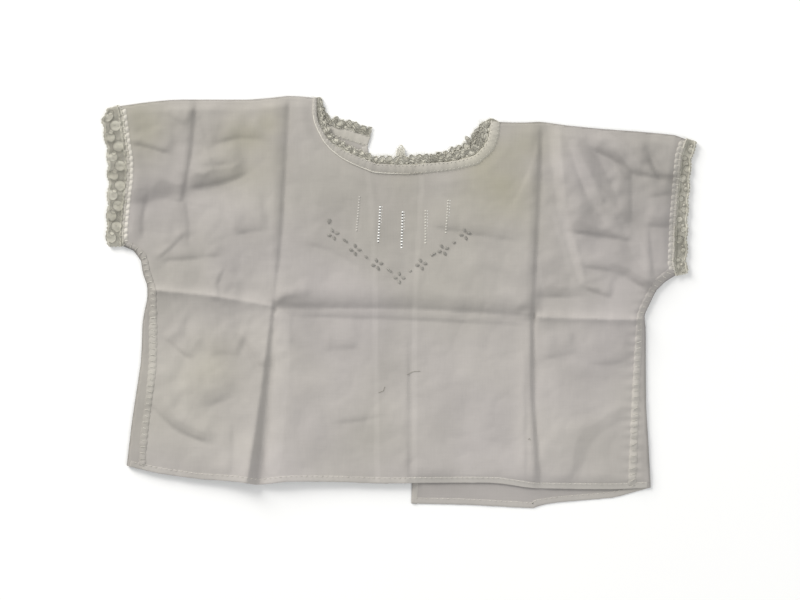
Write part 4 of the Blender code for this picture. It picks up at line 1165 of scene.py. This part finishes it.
def stitch_tree():
    """Lays small rounded stitches along chains of edges, each turned to the chain and then slanted."""
    found = bpy.data.node_groups.get("stitch_row")
    if found:
        return found
    tree = new_tree(
        "stitch_row",
        (
            ("Spacing", "NodeSocketFloat", 0.003),
            ("Length", "NodeSocketFloat", 0.002),
            ("Thickness", "NodeSocketFloat", 0.0004),
            ("Height", "NodeSocketFloat", 0.0004),
            ("Slant", "NodeSocketFloat", 0.0),
            ("Unevenness", "NodeSocketFloat", 0.15),
            ("Seed", "NodeSocketInt", 1),
            ("Material", "NodeSocketMaterial", None),
        ),
    )
    given = add_node(tree, "NodeGroupInput").outputs
    path = add_node(tree, "GeometryNodeMeshToCurve", {"Mesh": given["Geometry"]}).outputs[0]
    spaced = add_node(
        tree, "GeometryNodeResampleCurve", {"Curve": path, "Length": given["Spacing"]}, mode="LENGTH"
    )
    grain = add_node(
        tree, "GeometryNodeMeshUVSphere", {"Segments": 6, "Rings": 5, "Radius": 0.5}
    ).outputs["Mesh"]
    heading = add_node(tree, "GeometryNodeInputTangent").outputs[0]
    along = add_node(tree, "FunctionNodeAlignRotationToVector", {"Vector": heading}, axis="X").outputs[0]
    low = add_node(tree, "ShaderNodeMath", {0: given["Unevenness"], 1: -1.0}, operation="MULTIPLY").outputs[0]
    wobble = add_node(tree, "FunctionNodeRandomValue", {"Seed": given["Seed"]}, data_type="FLOAT")
    tree.links.new(low, wobble.inputs[2])
    tree.links.new(given["Unevenness"], wobble.inputs[3])
    slants = {0: given["Slant"], 1: wobble.outputs[1]}
    turn = add_node(tree, "ShaderNodeMath", slants, operation="ADD").outputs[0]
    turned = add_node(tree, "ShaderNodeCombineXYZ", {"Z": turn}).outputs[0]
    slant = add_node(tree, "FunctionNodeEulerToRotation", {"Euler": turned}).outputs[0]
    both = add_node(
        tree, "FunctionNodeRotateRotation", {"Rotation": along, "Rotate By": slant}, rotation_space="LOCAL"
    ).outputs[0]
    longer = add_node(tree, "ShaderNodeMath", {0: 1.0, 1: wobble.outputs[1]}, operation="ADD").outputs[0]
    length = add_node(tree, "ShaderNodeMath", {0: given["Length"], 1: longer}, operation="MULTIPLY").outputs[0]
    size = add_node(
        tree, "ShaderNodeCombineXYZ", {"X": length, "Y": given["Thickness"], "Z": given["Height"]}
    ).outputs[0]
    laid = add_node(
        tree,
        "GeometryNodeInstanceOnPoints",
        {"Points": spaced.outputs[0], "Instance": grain, "Rotation": both, "Scale": size},
    ).outputs[0]
    whole = add_node(tree, "GeometryNodeRealizeInstances", {"Geometry": laid}).outputs[0]
    smooth = add_node(tree, "GeometryNodeSetShadeSmooth", {"Geometry": whole}).outputs[0]
    finished = add_node(
        tree, "GeometryNodeSetMaterial", {"Geometry": smooth, "Material": given["Material"]}
    ).outputs[0]
    add_node(tree, "NodeGroupOutput", {"Geometry": finished})
    return tree


def grown(made, tree, values):
    """Runs a tree on an object and keeps its result as a plain mesh in a new object of the same name."""
    modifier = made.modifiers.new("Nodes", "NODES")
    modifier.node_group = tree
    for item in tree.interface.items_tree:
        if item.in_out == "INPUT" and item.name in values:
            modifier[item.identifier] = values[item.name]
    made.update_tag()
    bpy.context.view_layer.update()
    graph = bpy.context.evaluated_depsgraph_get()
    mesh = bpy.data.meshes.new_from_object(made.evaluated_get(graph))
    name = made.name
    bpy.data.objects.remove(made, do_unlink=True)
    if not mesh.polygons:
        raise RuntimeError(f"{name}: its tree made nothing")
    return placed(name, mesh)


def threads(name, chains, thickness, finish):
    """Round threads along chains of points, in one of the finishes of the table."""
    values = {"Thickness": thickness * MM, "Sides": 4, "Material": spun(finish)}
    return grown(chain_object(name, chains), thread_tree(), values)


def stitches(name, chains, spacing, length, thickness, slant, uneven, seed, finish, height=None):
    """A row of stitches along each chain of points, in one of the finishes of the table."""
    values = {
        "Spacing": spacing * MM,
        "Length": length * MM,
        "Thickness": thickness * MM,
        "Height": (height or thickness) * MM,
        "Slant": slant,
        "Unevenness": uneven,
        "Seed": seed,
        "Material": spun(finish),
    }
    return grown(chain_object(name, chains), stitch_tree(), values)


class LaceGround:
    """Places lace worked straight, by its run along the foot and its depth, on the curved edge it is sewn to."""

    def __init__(self, line, way, width, height, seed):
        self.line = line
        self.run = travelled(line)
        self.length = self.run[-1]
        self.normal = inward(line) * way
        self.width = width
        self.height = height
        self.seed = seed
        self.climb = 0.0

    def place(self, run, depth, lift=0.0):
        """depth is a share of the lace's width, from 0 at its foot to 1 at its points."""
        run = np.asarray(run, float)
        depth = np.asarray(depth, float)
        x = np.interp(run, self.run, self.line[:, 0])
        y = np.interp(run, self.run, self.line[:, 1])
        nx = np.interp(run, self.run, self.normal[:, 0])
        ny = np.interp(run, self.run, self.normal[:, 1])
        wide = np.interp(run, self.run, self.width)
        wave = 0.18 * np.sin(run * 1.3 + self.seed) + 0.12 * np.sin(depth * 7 + run * 0.7)
        over_cloth = self.climb * smooth_step((0.12 - depth) / 0.14)
        height = self.height + wave + lift + over_cloth
        return np.column_stack((x + nx * wide * depth, y + ny * wide * depth, height))


def edge_depth(run, repeat, cut):
    """Depth of the lace's scalloped outer edge, as a share of its full width."""
    return 1 - cut * (1 - np.abs(np.sin(math.pi * run / repeat)))


def net(ground, pitch, repeat, cut, inset, foot=0.02):
    """Slanting threads both ways that fill the lace between its foot and its scalloped edge."""
    chains = []
    mean = float(np.mean(ground.width))
    for way in (1, -1):
        start = -mean
        while start < ground.length + mean:
            depth = np.arange(foot, 1.0, 0.06)
            run = start + way * depth * mean + 0.12 * np.sin(depth * 20 + start)
            fits = (run > 0.1) & (run < ground.length - 0.1)
            fits &= depth < edge_depth(run, repeat, cut) - inset
            if fits.sum() > 2:
                ids = np.nonzero(fits)[0]
                for piece in np.split(ids, np.nonzero(np.diff(ids) > 1)[0] + 1):
                    if len(piece) > 2:
                        chains.append(ground.place(run[piece], depth[piece], 0.1 * way))
            start += pitch
    return chains


def wound_disc(ground, run, depth, radius, turns, lift):
    """A disc wound from thread in a flat spiral, seen as a small solid dot in the lace."""
    wide = float(np.interp(run, ground.run, ground.width))
    steps = np.linspace(0.12, 1, int(turns * 12))
    angle = steps * turns * math.tau
    reach = radius * steps
    return ground.place(run + reach * np.cos(angle), depth + reach * np.sin(angle) / wide, lift)


def ring(ground, run, depth, radius, lift):
    """A thread round a disc."""
    wide = float(np.interp(run, ground.run, ground.width))
    angle = np.linspace(0, math.tau, 15)
    return ground.place(run + radius * np.cos(angle), depth + radius * np.sin(angle) / wide, lift)


class BLOUSE_OT_sleeve_lace(bpy.types.Operator):
    """Works the lace of both sleeve ends in thread: net, wound discs, a corded foot and a scalloped edge"""

    bl_idname = "blouse.sleeve_lace"
    bl_label = "Sleeve lace"

    # Width of the lace at shares of the way down the cuff: share, left, right
    widths = (
        (0.0, 6.2, 5.6),
        (0.1, 11.3, 5.8),
        (0.25, 10.6, 5.8),
        (0.45, 11.6, 6.2),
        (0.6, 10.2, 6.6),
        (0.8, 9.0, 7.0),
        (1.0, 8.0, 6.4),
    )

    def execute(self, context):
        sizes = context.scene.blouse_lace
        repeat = sizes.repeat / MM
        radius = sizes.disc / MM / 2
        pitch = sizes.mesh_pitch / MM
        shares = [row[0] for row in self.widths]
        for name, cuff, column in (("left", LEFT_CUFF, 1), ("right", RIGHT_CUFF, 2)):
            line = lengthened(smooth_line(cuff, 1.0), 0.9)
            way = -1
            if cuff[0][1] < cuff[-1][1]:
                line = line[::-1]
                way = 1
            width = np.interp(np.linspace(0, 1, len(line)), shares, [row[column] for row in self.widths])
            narrow = width.mean() < 8
            fine = []
            stout = []
            outlines = []
            for height, slide in ((FRONT_EDGING, 0.0), (BACK_EDGING, 0.9)):
                ground = LaceGround(line, way, width, height, slide)
                upper = height == FRONT_EDGING
                ground.climb = 0.8 if upper else 0.0
                spacing = pitch * (0.7 if narrow else 1.0)
                fine += net(ground, spacing, repeat, SLEEVE_CUT, 0.06, -0.16 if upper else 0.02)
                run = np.arange(0.3, ground.length - 0.3, 0.5)
                for depth, swing in ((-0.14, 0.02), (0.06, 0.04)) if upper else ((0.05, 0.02),):
                    stout.append(ground.place(run, depth + swing * np.sin(run * 2.6 + depth * 9), 0.2))
                outer = edge_depth(run, repeat, SLEEVE_CUT)
                for drop, phase in ((0.0, 0.0), (0.05, math.pi)):
                    twist = 0.022 * np.sin(run * 3.4 + phase)
                    stout.append(ground.place(run, outer - drop + twist, 0.3))
                for k in range(int(ground.length / repeat) + 1):
                    for shift, depth, share in ((0.5, 0.72, 1.0), (0.0, 0.34, 1.06), (0.28, 0.62, 0.42)):
                        middle = (k + shift) * repeat + slide
                        size = radius * share
                        if narrow:
                            size *= 0.55 + 0.15 * math.sin(k * 2.3 + depth * 9)
                        if size < middle < ground.length - size:
                            turns = 2 if narrow or share < 0.9 else 5
                            stout.append(wound_disc(ground, middle, depth, size, turns, 0.1))
                            if upper:
                                outlines.append(ring(ground, middle, depth, size + 0.35, 0.3))
                if upper:
                    outlines.append(ground.place(run, outer + 0.03 + 0.02 * np.sin(run * 2.2), 0.35))
                    outlines.append(ground.place(run, -0.03 + 0.03 * np.sin(run * 1.7), 0.35))
                stout += self.picots(ground, repeat)
            thread = sizes.thread / MM
            keep(threads(f"net_{name}_sleeve", fine, 0.62 * thread, "fine_net_thread"), "lace")
            # The gimp's dark grey is painted shade round the discs and along the lace's edges.
            keep(threads(f"gimp_{name}_sleeve", outlines, 0.7 * thread, "grey_gimp_thread"), "lace")
            made = threads(f"lace_{name}_sleeve", stout, thread, "cotton_lace_thread")
            keep(made, "lace", f"sleeve_lace_{name}")
        return {"FINISHED"}

    @staticmethod
    def picots(ground, repeat):
        """Tiny loops that stand out from the scallops."""
        chains = []
        run = 1.2
        while run < ground.length - 1.2:
            edge = edge_depth(np.array([run]), repeat, SLEEVE_CUT)[0]
            wide = float(np.interp(run, ground.run, ground.width))
            angle = np.linspace(-0.4, math.pi + 0.4, 7)
            chains.append(
                ground.place(run + 0.55 * np.cos(angle), edge + (0.2 + 0.6 * np.sin(angle)) / wide, 0.15)
            )
            run += 2.05
        return chains


class BLOUSE_OT_neck_lace(bpy.types.Operator):
    """Works the narrow lace round the neck, with its loose end at the back"""

    bl_idname = "blouse.neck_lace"
    bl_label = "Neck lace"

    def execute(self, context):
        sizes = context.scene.blouse_lace
        repeat = sizes.neck_repeat / MM
        for name, rows, way, height, _ in NECKS:
            line = smooth_line(rows, 0.8)
            foot = shifted(line, way * (line[:, 2] - 0.3))
            wander = rolling(np.column_stack((travelled(line), np.zeros(len(line)))), 4.2, 2.5)
            width = line[:, 3] + 0.6 + 1.4 * wander
            ground = LaceGround(foot, 1, width, height, 0.4)
            ground.normal = inward(line) * way
            fine = net(ground, 0.95, repeat, NECK_CUT, 0.04)
            stout = []
            run = np.arange(0.2, ground.length - 0.2, 0.4)
            wander = rolling(np.column_stack((run, np.zeros(len(run)))), 2.3, 8.5)
            for depth, swing in ((0.08, 0.1), (0.42, 0.45)):
                stout.append(ground.place(run, depth + swing * wander, 0.15))
            outer = edge_depth(run, repeat, NECK_CUT)
            for phase in (0.0, math.pi):
                stout.append(ground.place(run, outer + 0.06 * np.sin(run * 3.1 + phase), 0.15))
            for k in range(int(ground.length / repeat) + 1):
                for shift, depth, size in ((0.5, 0.56, 1.5), (0.0, 0.3, 0.8)):
                    middle = (k + shift) * repeat + 0.9 * math.sin(k * 2.4)
                    size *= 1 + 0.3 * math.sin(k * 1.7)
                    if size < middle < ground.length - size:
                        stout.append(wound_disc(ground, middle, depth, size, 4, 0.15))
            outlines = [ground.place(run, outer + 0.1 + 0.1 * wander, 0.4)]
            outlines += [ground.place(run, 0.5 * wander + depth, 0.5) for depth in (0.25, 0.55)]
            stout += BLOUSE_OT_sleeve_lace.picots(ground, repeat)
            if name == "back_right":
                stout += self.loose_end(height)
            thread = sizes.thread / MM
            keep(threads(f"net_neck_{name}", fine, 0.62 * thread, "fine_net_thread"), "lace")
            # The gimp's dark grey is painted shade along the lace's edges and its inner lines.
            keep(threads(f"gimp_neck_{name}", outlines, 0.95 * thread, "grey_gimp_thread"), "lace")
            made = threads(f"lace_neck_{name}", stout, 0.85 * thread, "cotton_lace_thread")
            keep(made, "lace", f"neck_lace_{name}")
        return {"FINISHED"}

    @staticmethod
    def loose_end(height):
        """The lace's last stretch, which has come away and stands up as a small leaf."""
        chains = []
        right = ((12, 85), (6, 86), (1, 84.6), (-1.3, 88), (-0.8, 91.4))
        left = ((1.6, 94), (3.2, 91.4), (3.3, 88), (5, 86.4), (11.5, 87.6))
        line = smooth_line(right + left, 0.6)
        for lift in (0.0, 0.35):
            flat = line + lift * 0.6
            chains.append(np.column_stack((flat, np.full(len(flat), height + 0.3 + lift))))
        for y in np.arange(84.8, 93.0, 0.75):
            half = 2.0 * math.sqrt(max(0.0, 1 - ((y - 88.6) / 5.2) ** 2))
            x = np.linspace(1.1 - half, 1.1 + half, 6)
            chains.append(np.column_stack((x, y + 0.25 * np.sin(x * 3), np.full(6, height + 0.4))))
        for x in (0.0, 1.1, 2.2):
            y = np.linspace(84.8, 92.4 - abs(x - 1.1), 9)
            chains.append(np.column_stack((x + 0.2 * np.sin(y * 2), y, np.full(9, height + 0.5))))
        return chains


class BLOUSE_OT_sewing(bpy.types.Operator):
    """Sews the hems, the felled seams, the binding and the sleeve ends"""

    bl_idname = "blouse.sewing"
    bl_label = "Sewing"

    def execute(self, context):
        sizes = context.scene.blouse_stitch
        thread = sizes.thread / MM
        finish = "white_sewing_thread"
        hem_in = context.scene.blouse_cloth.hem_depth / MM
        chains = []
        for rows, base, short in (
            (FRONT_HEM, front_height, 5),
            (BACK_RIGHT_HEM, back_height, 3),
            (BACK_LEFT_HEM[::-1], back_height, 3),
        ):
            line = shifted(smooth_line(rows, 1.0), hem_in - 0.35)[short:-short]
            chains.append(row_heights(line, base, 0.3))
        made = stitches("hem_stitches", chains, sizes.hem_spacing / MM, 1.5, thread, 0.25, 0.25, 3, finish)
        keep(made, "cotton")
        for name, rows, slant in (("left", LEFT_SEAM, 1.35), ("right", RIGHT_SEAM, -1.3)):
            chain = row_heights(smooth_line(rows, 1.0)[:, :2], front_height, 0.62)
            spacing = sizes.seam_spacing / MM
            wraps = stitches(f"{name}_seam_wraps", [chain], spacing, 3.6, thread * 0.9, slant, 0.3, 5, finish)
            keep(wraps, "cotton")
        for name, cuff in (("left", LEFT_CUFF), ("right", RIGHT_CUFF)):
            line = shifted(smooth_line(cuff, 1.0), 1.7)[2:-2]
            chain = row_heights(line, front_height, 0.35)
            wraps = stitches(f"{name}_cuff_wraps", [chain], 3.6, 3.8, thread, 1.45, 0.15, 7, finish)
            keep(wraps, "cotton")
        chains = []
        for name, rows, way, _, crown in NECKS:
            line = smooth_line(rows, 1.0)
            lies_on = front_height if name == "front" else back_height
            for inset in (0.35, line[:, 2] - 0.5):
                chains.append(row_heights(shifted(line, way * inset), lies_on, crown * 0.8))
        keep(stitches("binding_stitches", chains, 2.4, 1.2, thread * 0.85, 0.5, 0.3, 11, finish), "binding")
        chains = []
        for path in LOOSE_THREADS:
            chains.append(row_heights(smooth_line(np.reshape(path, (3, 2)), 0.6), front_height, 0.12))
        keep(threads("loose_threads", chains, 0.24, "grey_gimp_thread"), "cotton")
        return {"FINISHED"}


class BLOUSE_OT_ladders(bpy.types.Operator):
    """Works the five drawn-thread ladders: rungs of bundled thread, whipped sides, and short second rows"""

    bl_idname = "blouse.ladders"
    bl_label = "Drawn-thread ladders"

    def execute(self, context):
        sizes = context.scene.blouse_stitch
        half = context.scene.blouse_cloth.slot_width / MM / 2
        spacing = sizes.rung_spacing / MM
        finishes = {"white": "bleached_white_floss", "pale": "white_sewing_thread"}
        finishes["faint"] = "drawn_cotton_thread"
        rungs = {kind: [] for kind in finishes}
        sides = []
        second = []
        for top_x, top_y, foot_x, foot_y, white in LADDERS:
            ends = np.array([(top_x, top_y - 0.8), (foot_x, foot_y + 0.8)])
            length = float(np.hypot(*(ends[1] - ends[0])))
            steps = np.linspace(0, 1, int(length) + 1)[:, None]
            line = ends[0] + (ends[1] - ends[0]) * steps
            kind = "white" if white > 0.8 else "pale" if white > 0.4 else "faint"
            rungs[kind].append(row_heights(line, front_height, 0.0))
            for side in (-1, 1):
                edge = line + np.array((side * (half - 0.1), 0.0))
                sides.append(row_heights(edge, front_height, 0.06))
            # All but the faintest have a second row of small stitches beside their upper half.
            if kind != "faint":
                aside = line[: len(line) // 2] + np.array((half + 0.9, 0.0))
                second.append(row_heights(aside, front_height, 0.06))
        for name, chains in rungs.items():
            finish = finishes[name]
            long, thick = (1.4, 1.15) if name == "white" else (1.2, 1.0)
            made = stitches(f"{name}_rungs", chains, spacing, long, thick, math.pi / 2, 0.06, 13, finish, 0.6)
            keep(made, "cotton")
        made = stitches("ladder_whipping", sides, spacing, 1.3, 0.34, 0.2, 0.2, 17, finishes["faint"], 0.3)
        keep(made, "cotton")
        made = stitches("ladder_second_row", second, spacing, 0.55, 0.5, 0.0, 0.2, 19, finishes["white"], 0.2)
        keep(made, "cotton")
        return {"FINISHED"}


class BLOUSE_OT_flowers(bpy.types.Operator):
    """Embroiders the garland: seven four-petalled flowers and the buds between them, in a wide V"""

    bl_idname = "blouse.flowers"
    bl_label = "Embroidered garland"

    def execute(self, context):
        sizes = context.scene.blouse_stitch
        petal = sizes.petal / MM
        arm = np.array((sizes.garland_half / MM, sizes.garland_rise / MM))
        middle = np.array((0.4, 14.6))
        chains = []
        for step in range(-3, 4):
            share = abs(step) / 3
            place = middle + arm * np.array((step / 3, share - 0.12 * share * (1 - share)))
            for k in range(4):
                angle = math.radians(12 * step % 25 + 90 * k)
                chains += self.satin(place + 2.4 * np.array((math.cos(angle), math.sin(angle))), angle, petal)
            if step < 3:
                following = middle + arm * np.array(((step + 1) / 3, abs(step + 1) / 3))
                between = (place + following) / 2 + np.array((0.0, 0.9 if step % 2 else -0.3))
                lean = math.radians(35 if step >= 0 else -35)
                for k in range(2 if step % 2 else 1):
                    bud = between + 1.5 * k * np.array((math.cos(lean), math.sin(lean)))
                    chains += self.satin(bud, lean, 1.5)
        chains += self.satin(middle + arm * np.array((-1.06, 1.3)), 1.2, 1.4 * petal)
        keep(threads("garland", chains, 0.34, "grey_embroidery_floss"), "cotton")
        return {"FINISHED"}

    @staticmethod
    def satin(middle, angle, length):
        """One petal in satin stitch: short arched threads side by side across an oval."""
        along = np.array((math.cos(angle), math.sin(angle)))
        across = np.array((-along[1], along[0]))
        chains = []
        for step in np.linspace(-1, 1, 8):
            half = 0.42 * length * math.sqrt(max(0.05, 1 - (0.95 * step) ** 2))
            sweep = np.linspace(-1, 1, 5)
            flat = middle + along * (step * length / 2) + across * (sweep * half)[:, None]
            height = front_height(flat) + 0.12 + 0.26 * np.sqrt(np.clip(1 - sweep**2 * 0.98, 0, 1))
            chains.append(np.column_stack((flat, height)))
        return chains


class BLOUSE_OT_stage(bpy.types.Operator):
    """Sets the floor, the soft light and the camera straight above"""

    bl_idname = "blouse.stage"
    bl_label = "Stage"

    def execute(self, context):
        sizes = context.scene.blouse_stage
        paper = once("matt_white_paper", matt_paper, sizes.floor_colour)
        corners = FLOOR_HALF * np.array(((-1, -1, 0), (1, -1, 0), (1, 1, 0), (-1, 1, 0)))
        floor = mesh_object("floor", corners, [(0, 1, 2, 3)], paper, smooth=False)

        def lamp(name, place, size, power, tint):
            data = bpy.data.lights.new(name, "AREA")
            data.shape = "RECTANGLE"
            data.size, data.size_y = size
            data.energy = power
            data.color = tint
            made = placed(name, data)
            made.location = place
            made.rotation_euler = (-Vector(place)).to_track_quat("-Z", "Y").to_euler()

        lamp("key", (-1.3, 1.4, 0.9), (1.1, 1.1), sizes.key_power, (1.0, 0.985, 0.96))
        lamp("fill", (1.3, -0.8, 1.6), (1.6, 1.6), sizes.key_power * 0.35, (0.96, 0.98, 1.0))
        world = bpy.data.worlds.new("soft_sky")
        world.use_nodes = True
        background = world.node_tree.nodes["Background"].inputs
        background["Color"].default_value = (1.0, 1.0, 1.0, 1.0)
        background["Strength"].default_value = sizes.sky
        context.scene.world = world
        context.scene.view_settings.view_transform = "Standard"

        data = bpy.data.cameras.new("camera")
        data.sensor_width = 36.0
        data.lens = data.sensor_width * sizes.camera_height / sizes.view_width
        camera = placed("camera", data)
        camera.location = (0.9 * MM, 1.2 * MM, sizes.camera_height)
        context.scene.camera = camera
        return {"FINISHED"}


class BLOUSE_PT_panel(bpy.types.Panel):
    """The blouse's sizes and the buttons that make its pieces."""

    bl_idname = "BLOUSE_PT_panel"
    bl_label = "Blouse"
    bl_space_type = "VIEW_3D"
    bl_region_type = "UI"
    bl_category = "Blouse"

    def draw(self, context):
        for group in (getattr(context.scene, name) for name in GROUPS):
            box = self.layout.box()
            for size in group.__annotations__:
                box.prop(group, size)
        for operator in OPERATORS:
            self.layout.operator(operator.bl_idname)


OPERATORS = (
    BLOUSE_OT_cloth,
    BLOUSE_OT_turnings,
    BLOUSE_OT_binding,
    BLOUSE_OT_sleeve_lace,
    BLOUSE_OT_neck_lace,
    BLOUSE_OT_sewing,
    BLOUSE_OT_ladders,
    BLOUSE_OT_flowers,
    BLOUSE_OT_stage,
)
GROUPS = {
    "blouse_cloth": BLOUSE_PG_cloth,
    "blouse_lace": BLOUSE_PG_lace,
    "blouse_stitch": BLOUSE_PG_stitch,
    "blouse_stage": BLOUSE_PG_stage,
}


def register():
    for cls in (*GROUPS.values(), *OPERATORS, BLOUSE_PT_panel):
        bpy.utils.register_class(cls)
    for name, cls in GROUPS.items():
        setattr(bpy.types.Scene, name, bpy.props.PointerProperty(type=cls))


def unregister():
    for name in GROUPS:
        delattr(bpy.types.Scene, name)
    for cls in (BLOUSE_PT_panel, *reversed(OPERATORS), *GROUPS.values()):
        bpy.utils.unregister_class(cls)


def main():
    register()
    bpy.ops.blouse.cloth()
    bpy.ops.blouse.turnings()
    bpy.ops.blouse.binding()
    bpy.ops.blouse.sleeve_lace()
    bpy.ops.blouse.neck_lace()
    bpy.ops.blouse.sewing()
    bpy.ops.blouse.ladders()
    bpy.ops.blouse.flowers()
    bpy.ops.blouse.stage()


if __name__ == "__main__":
    main()
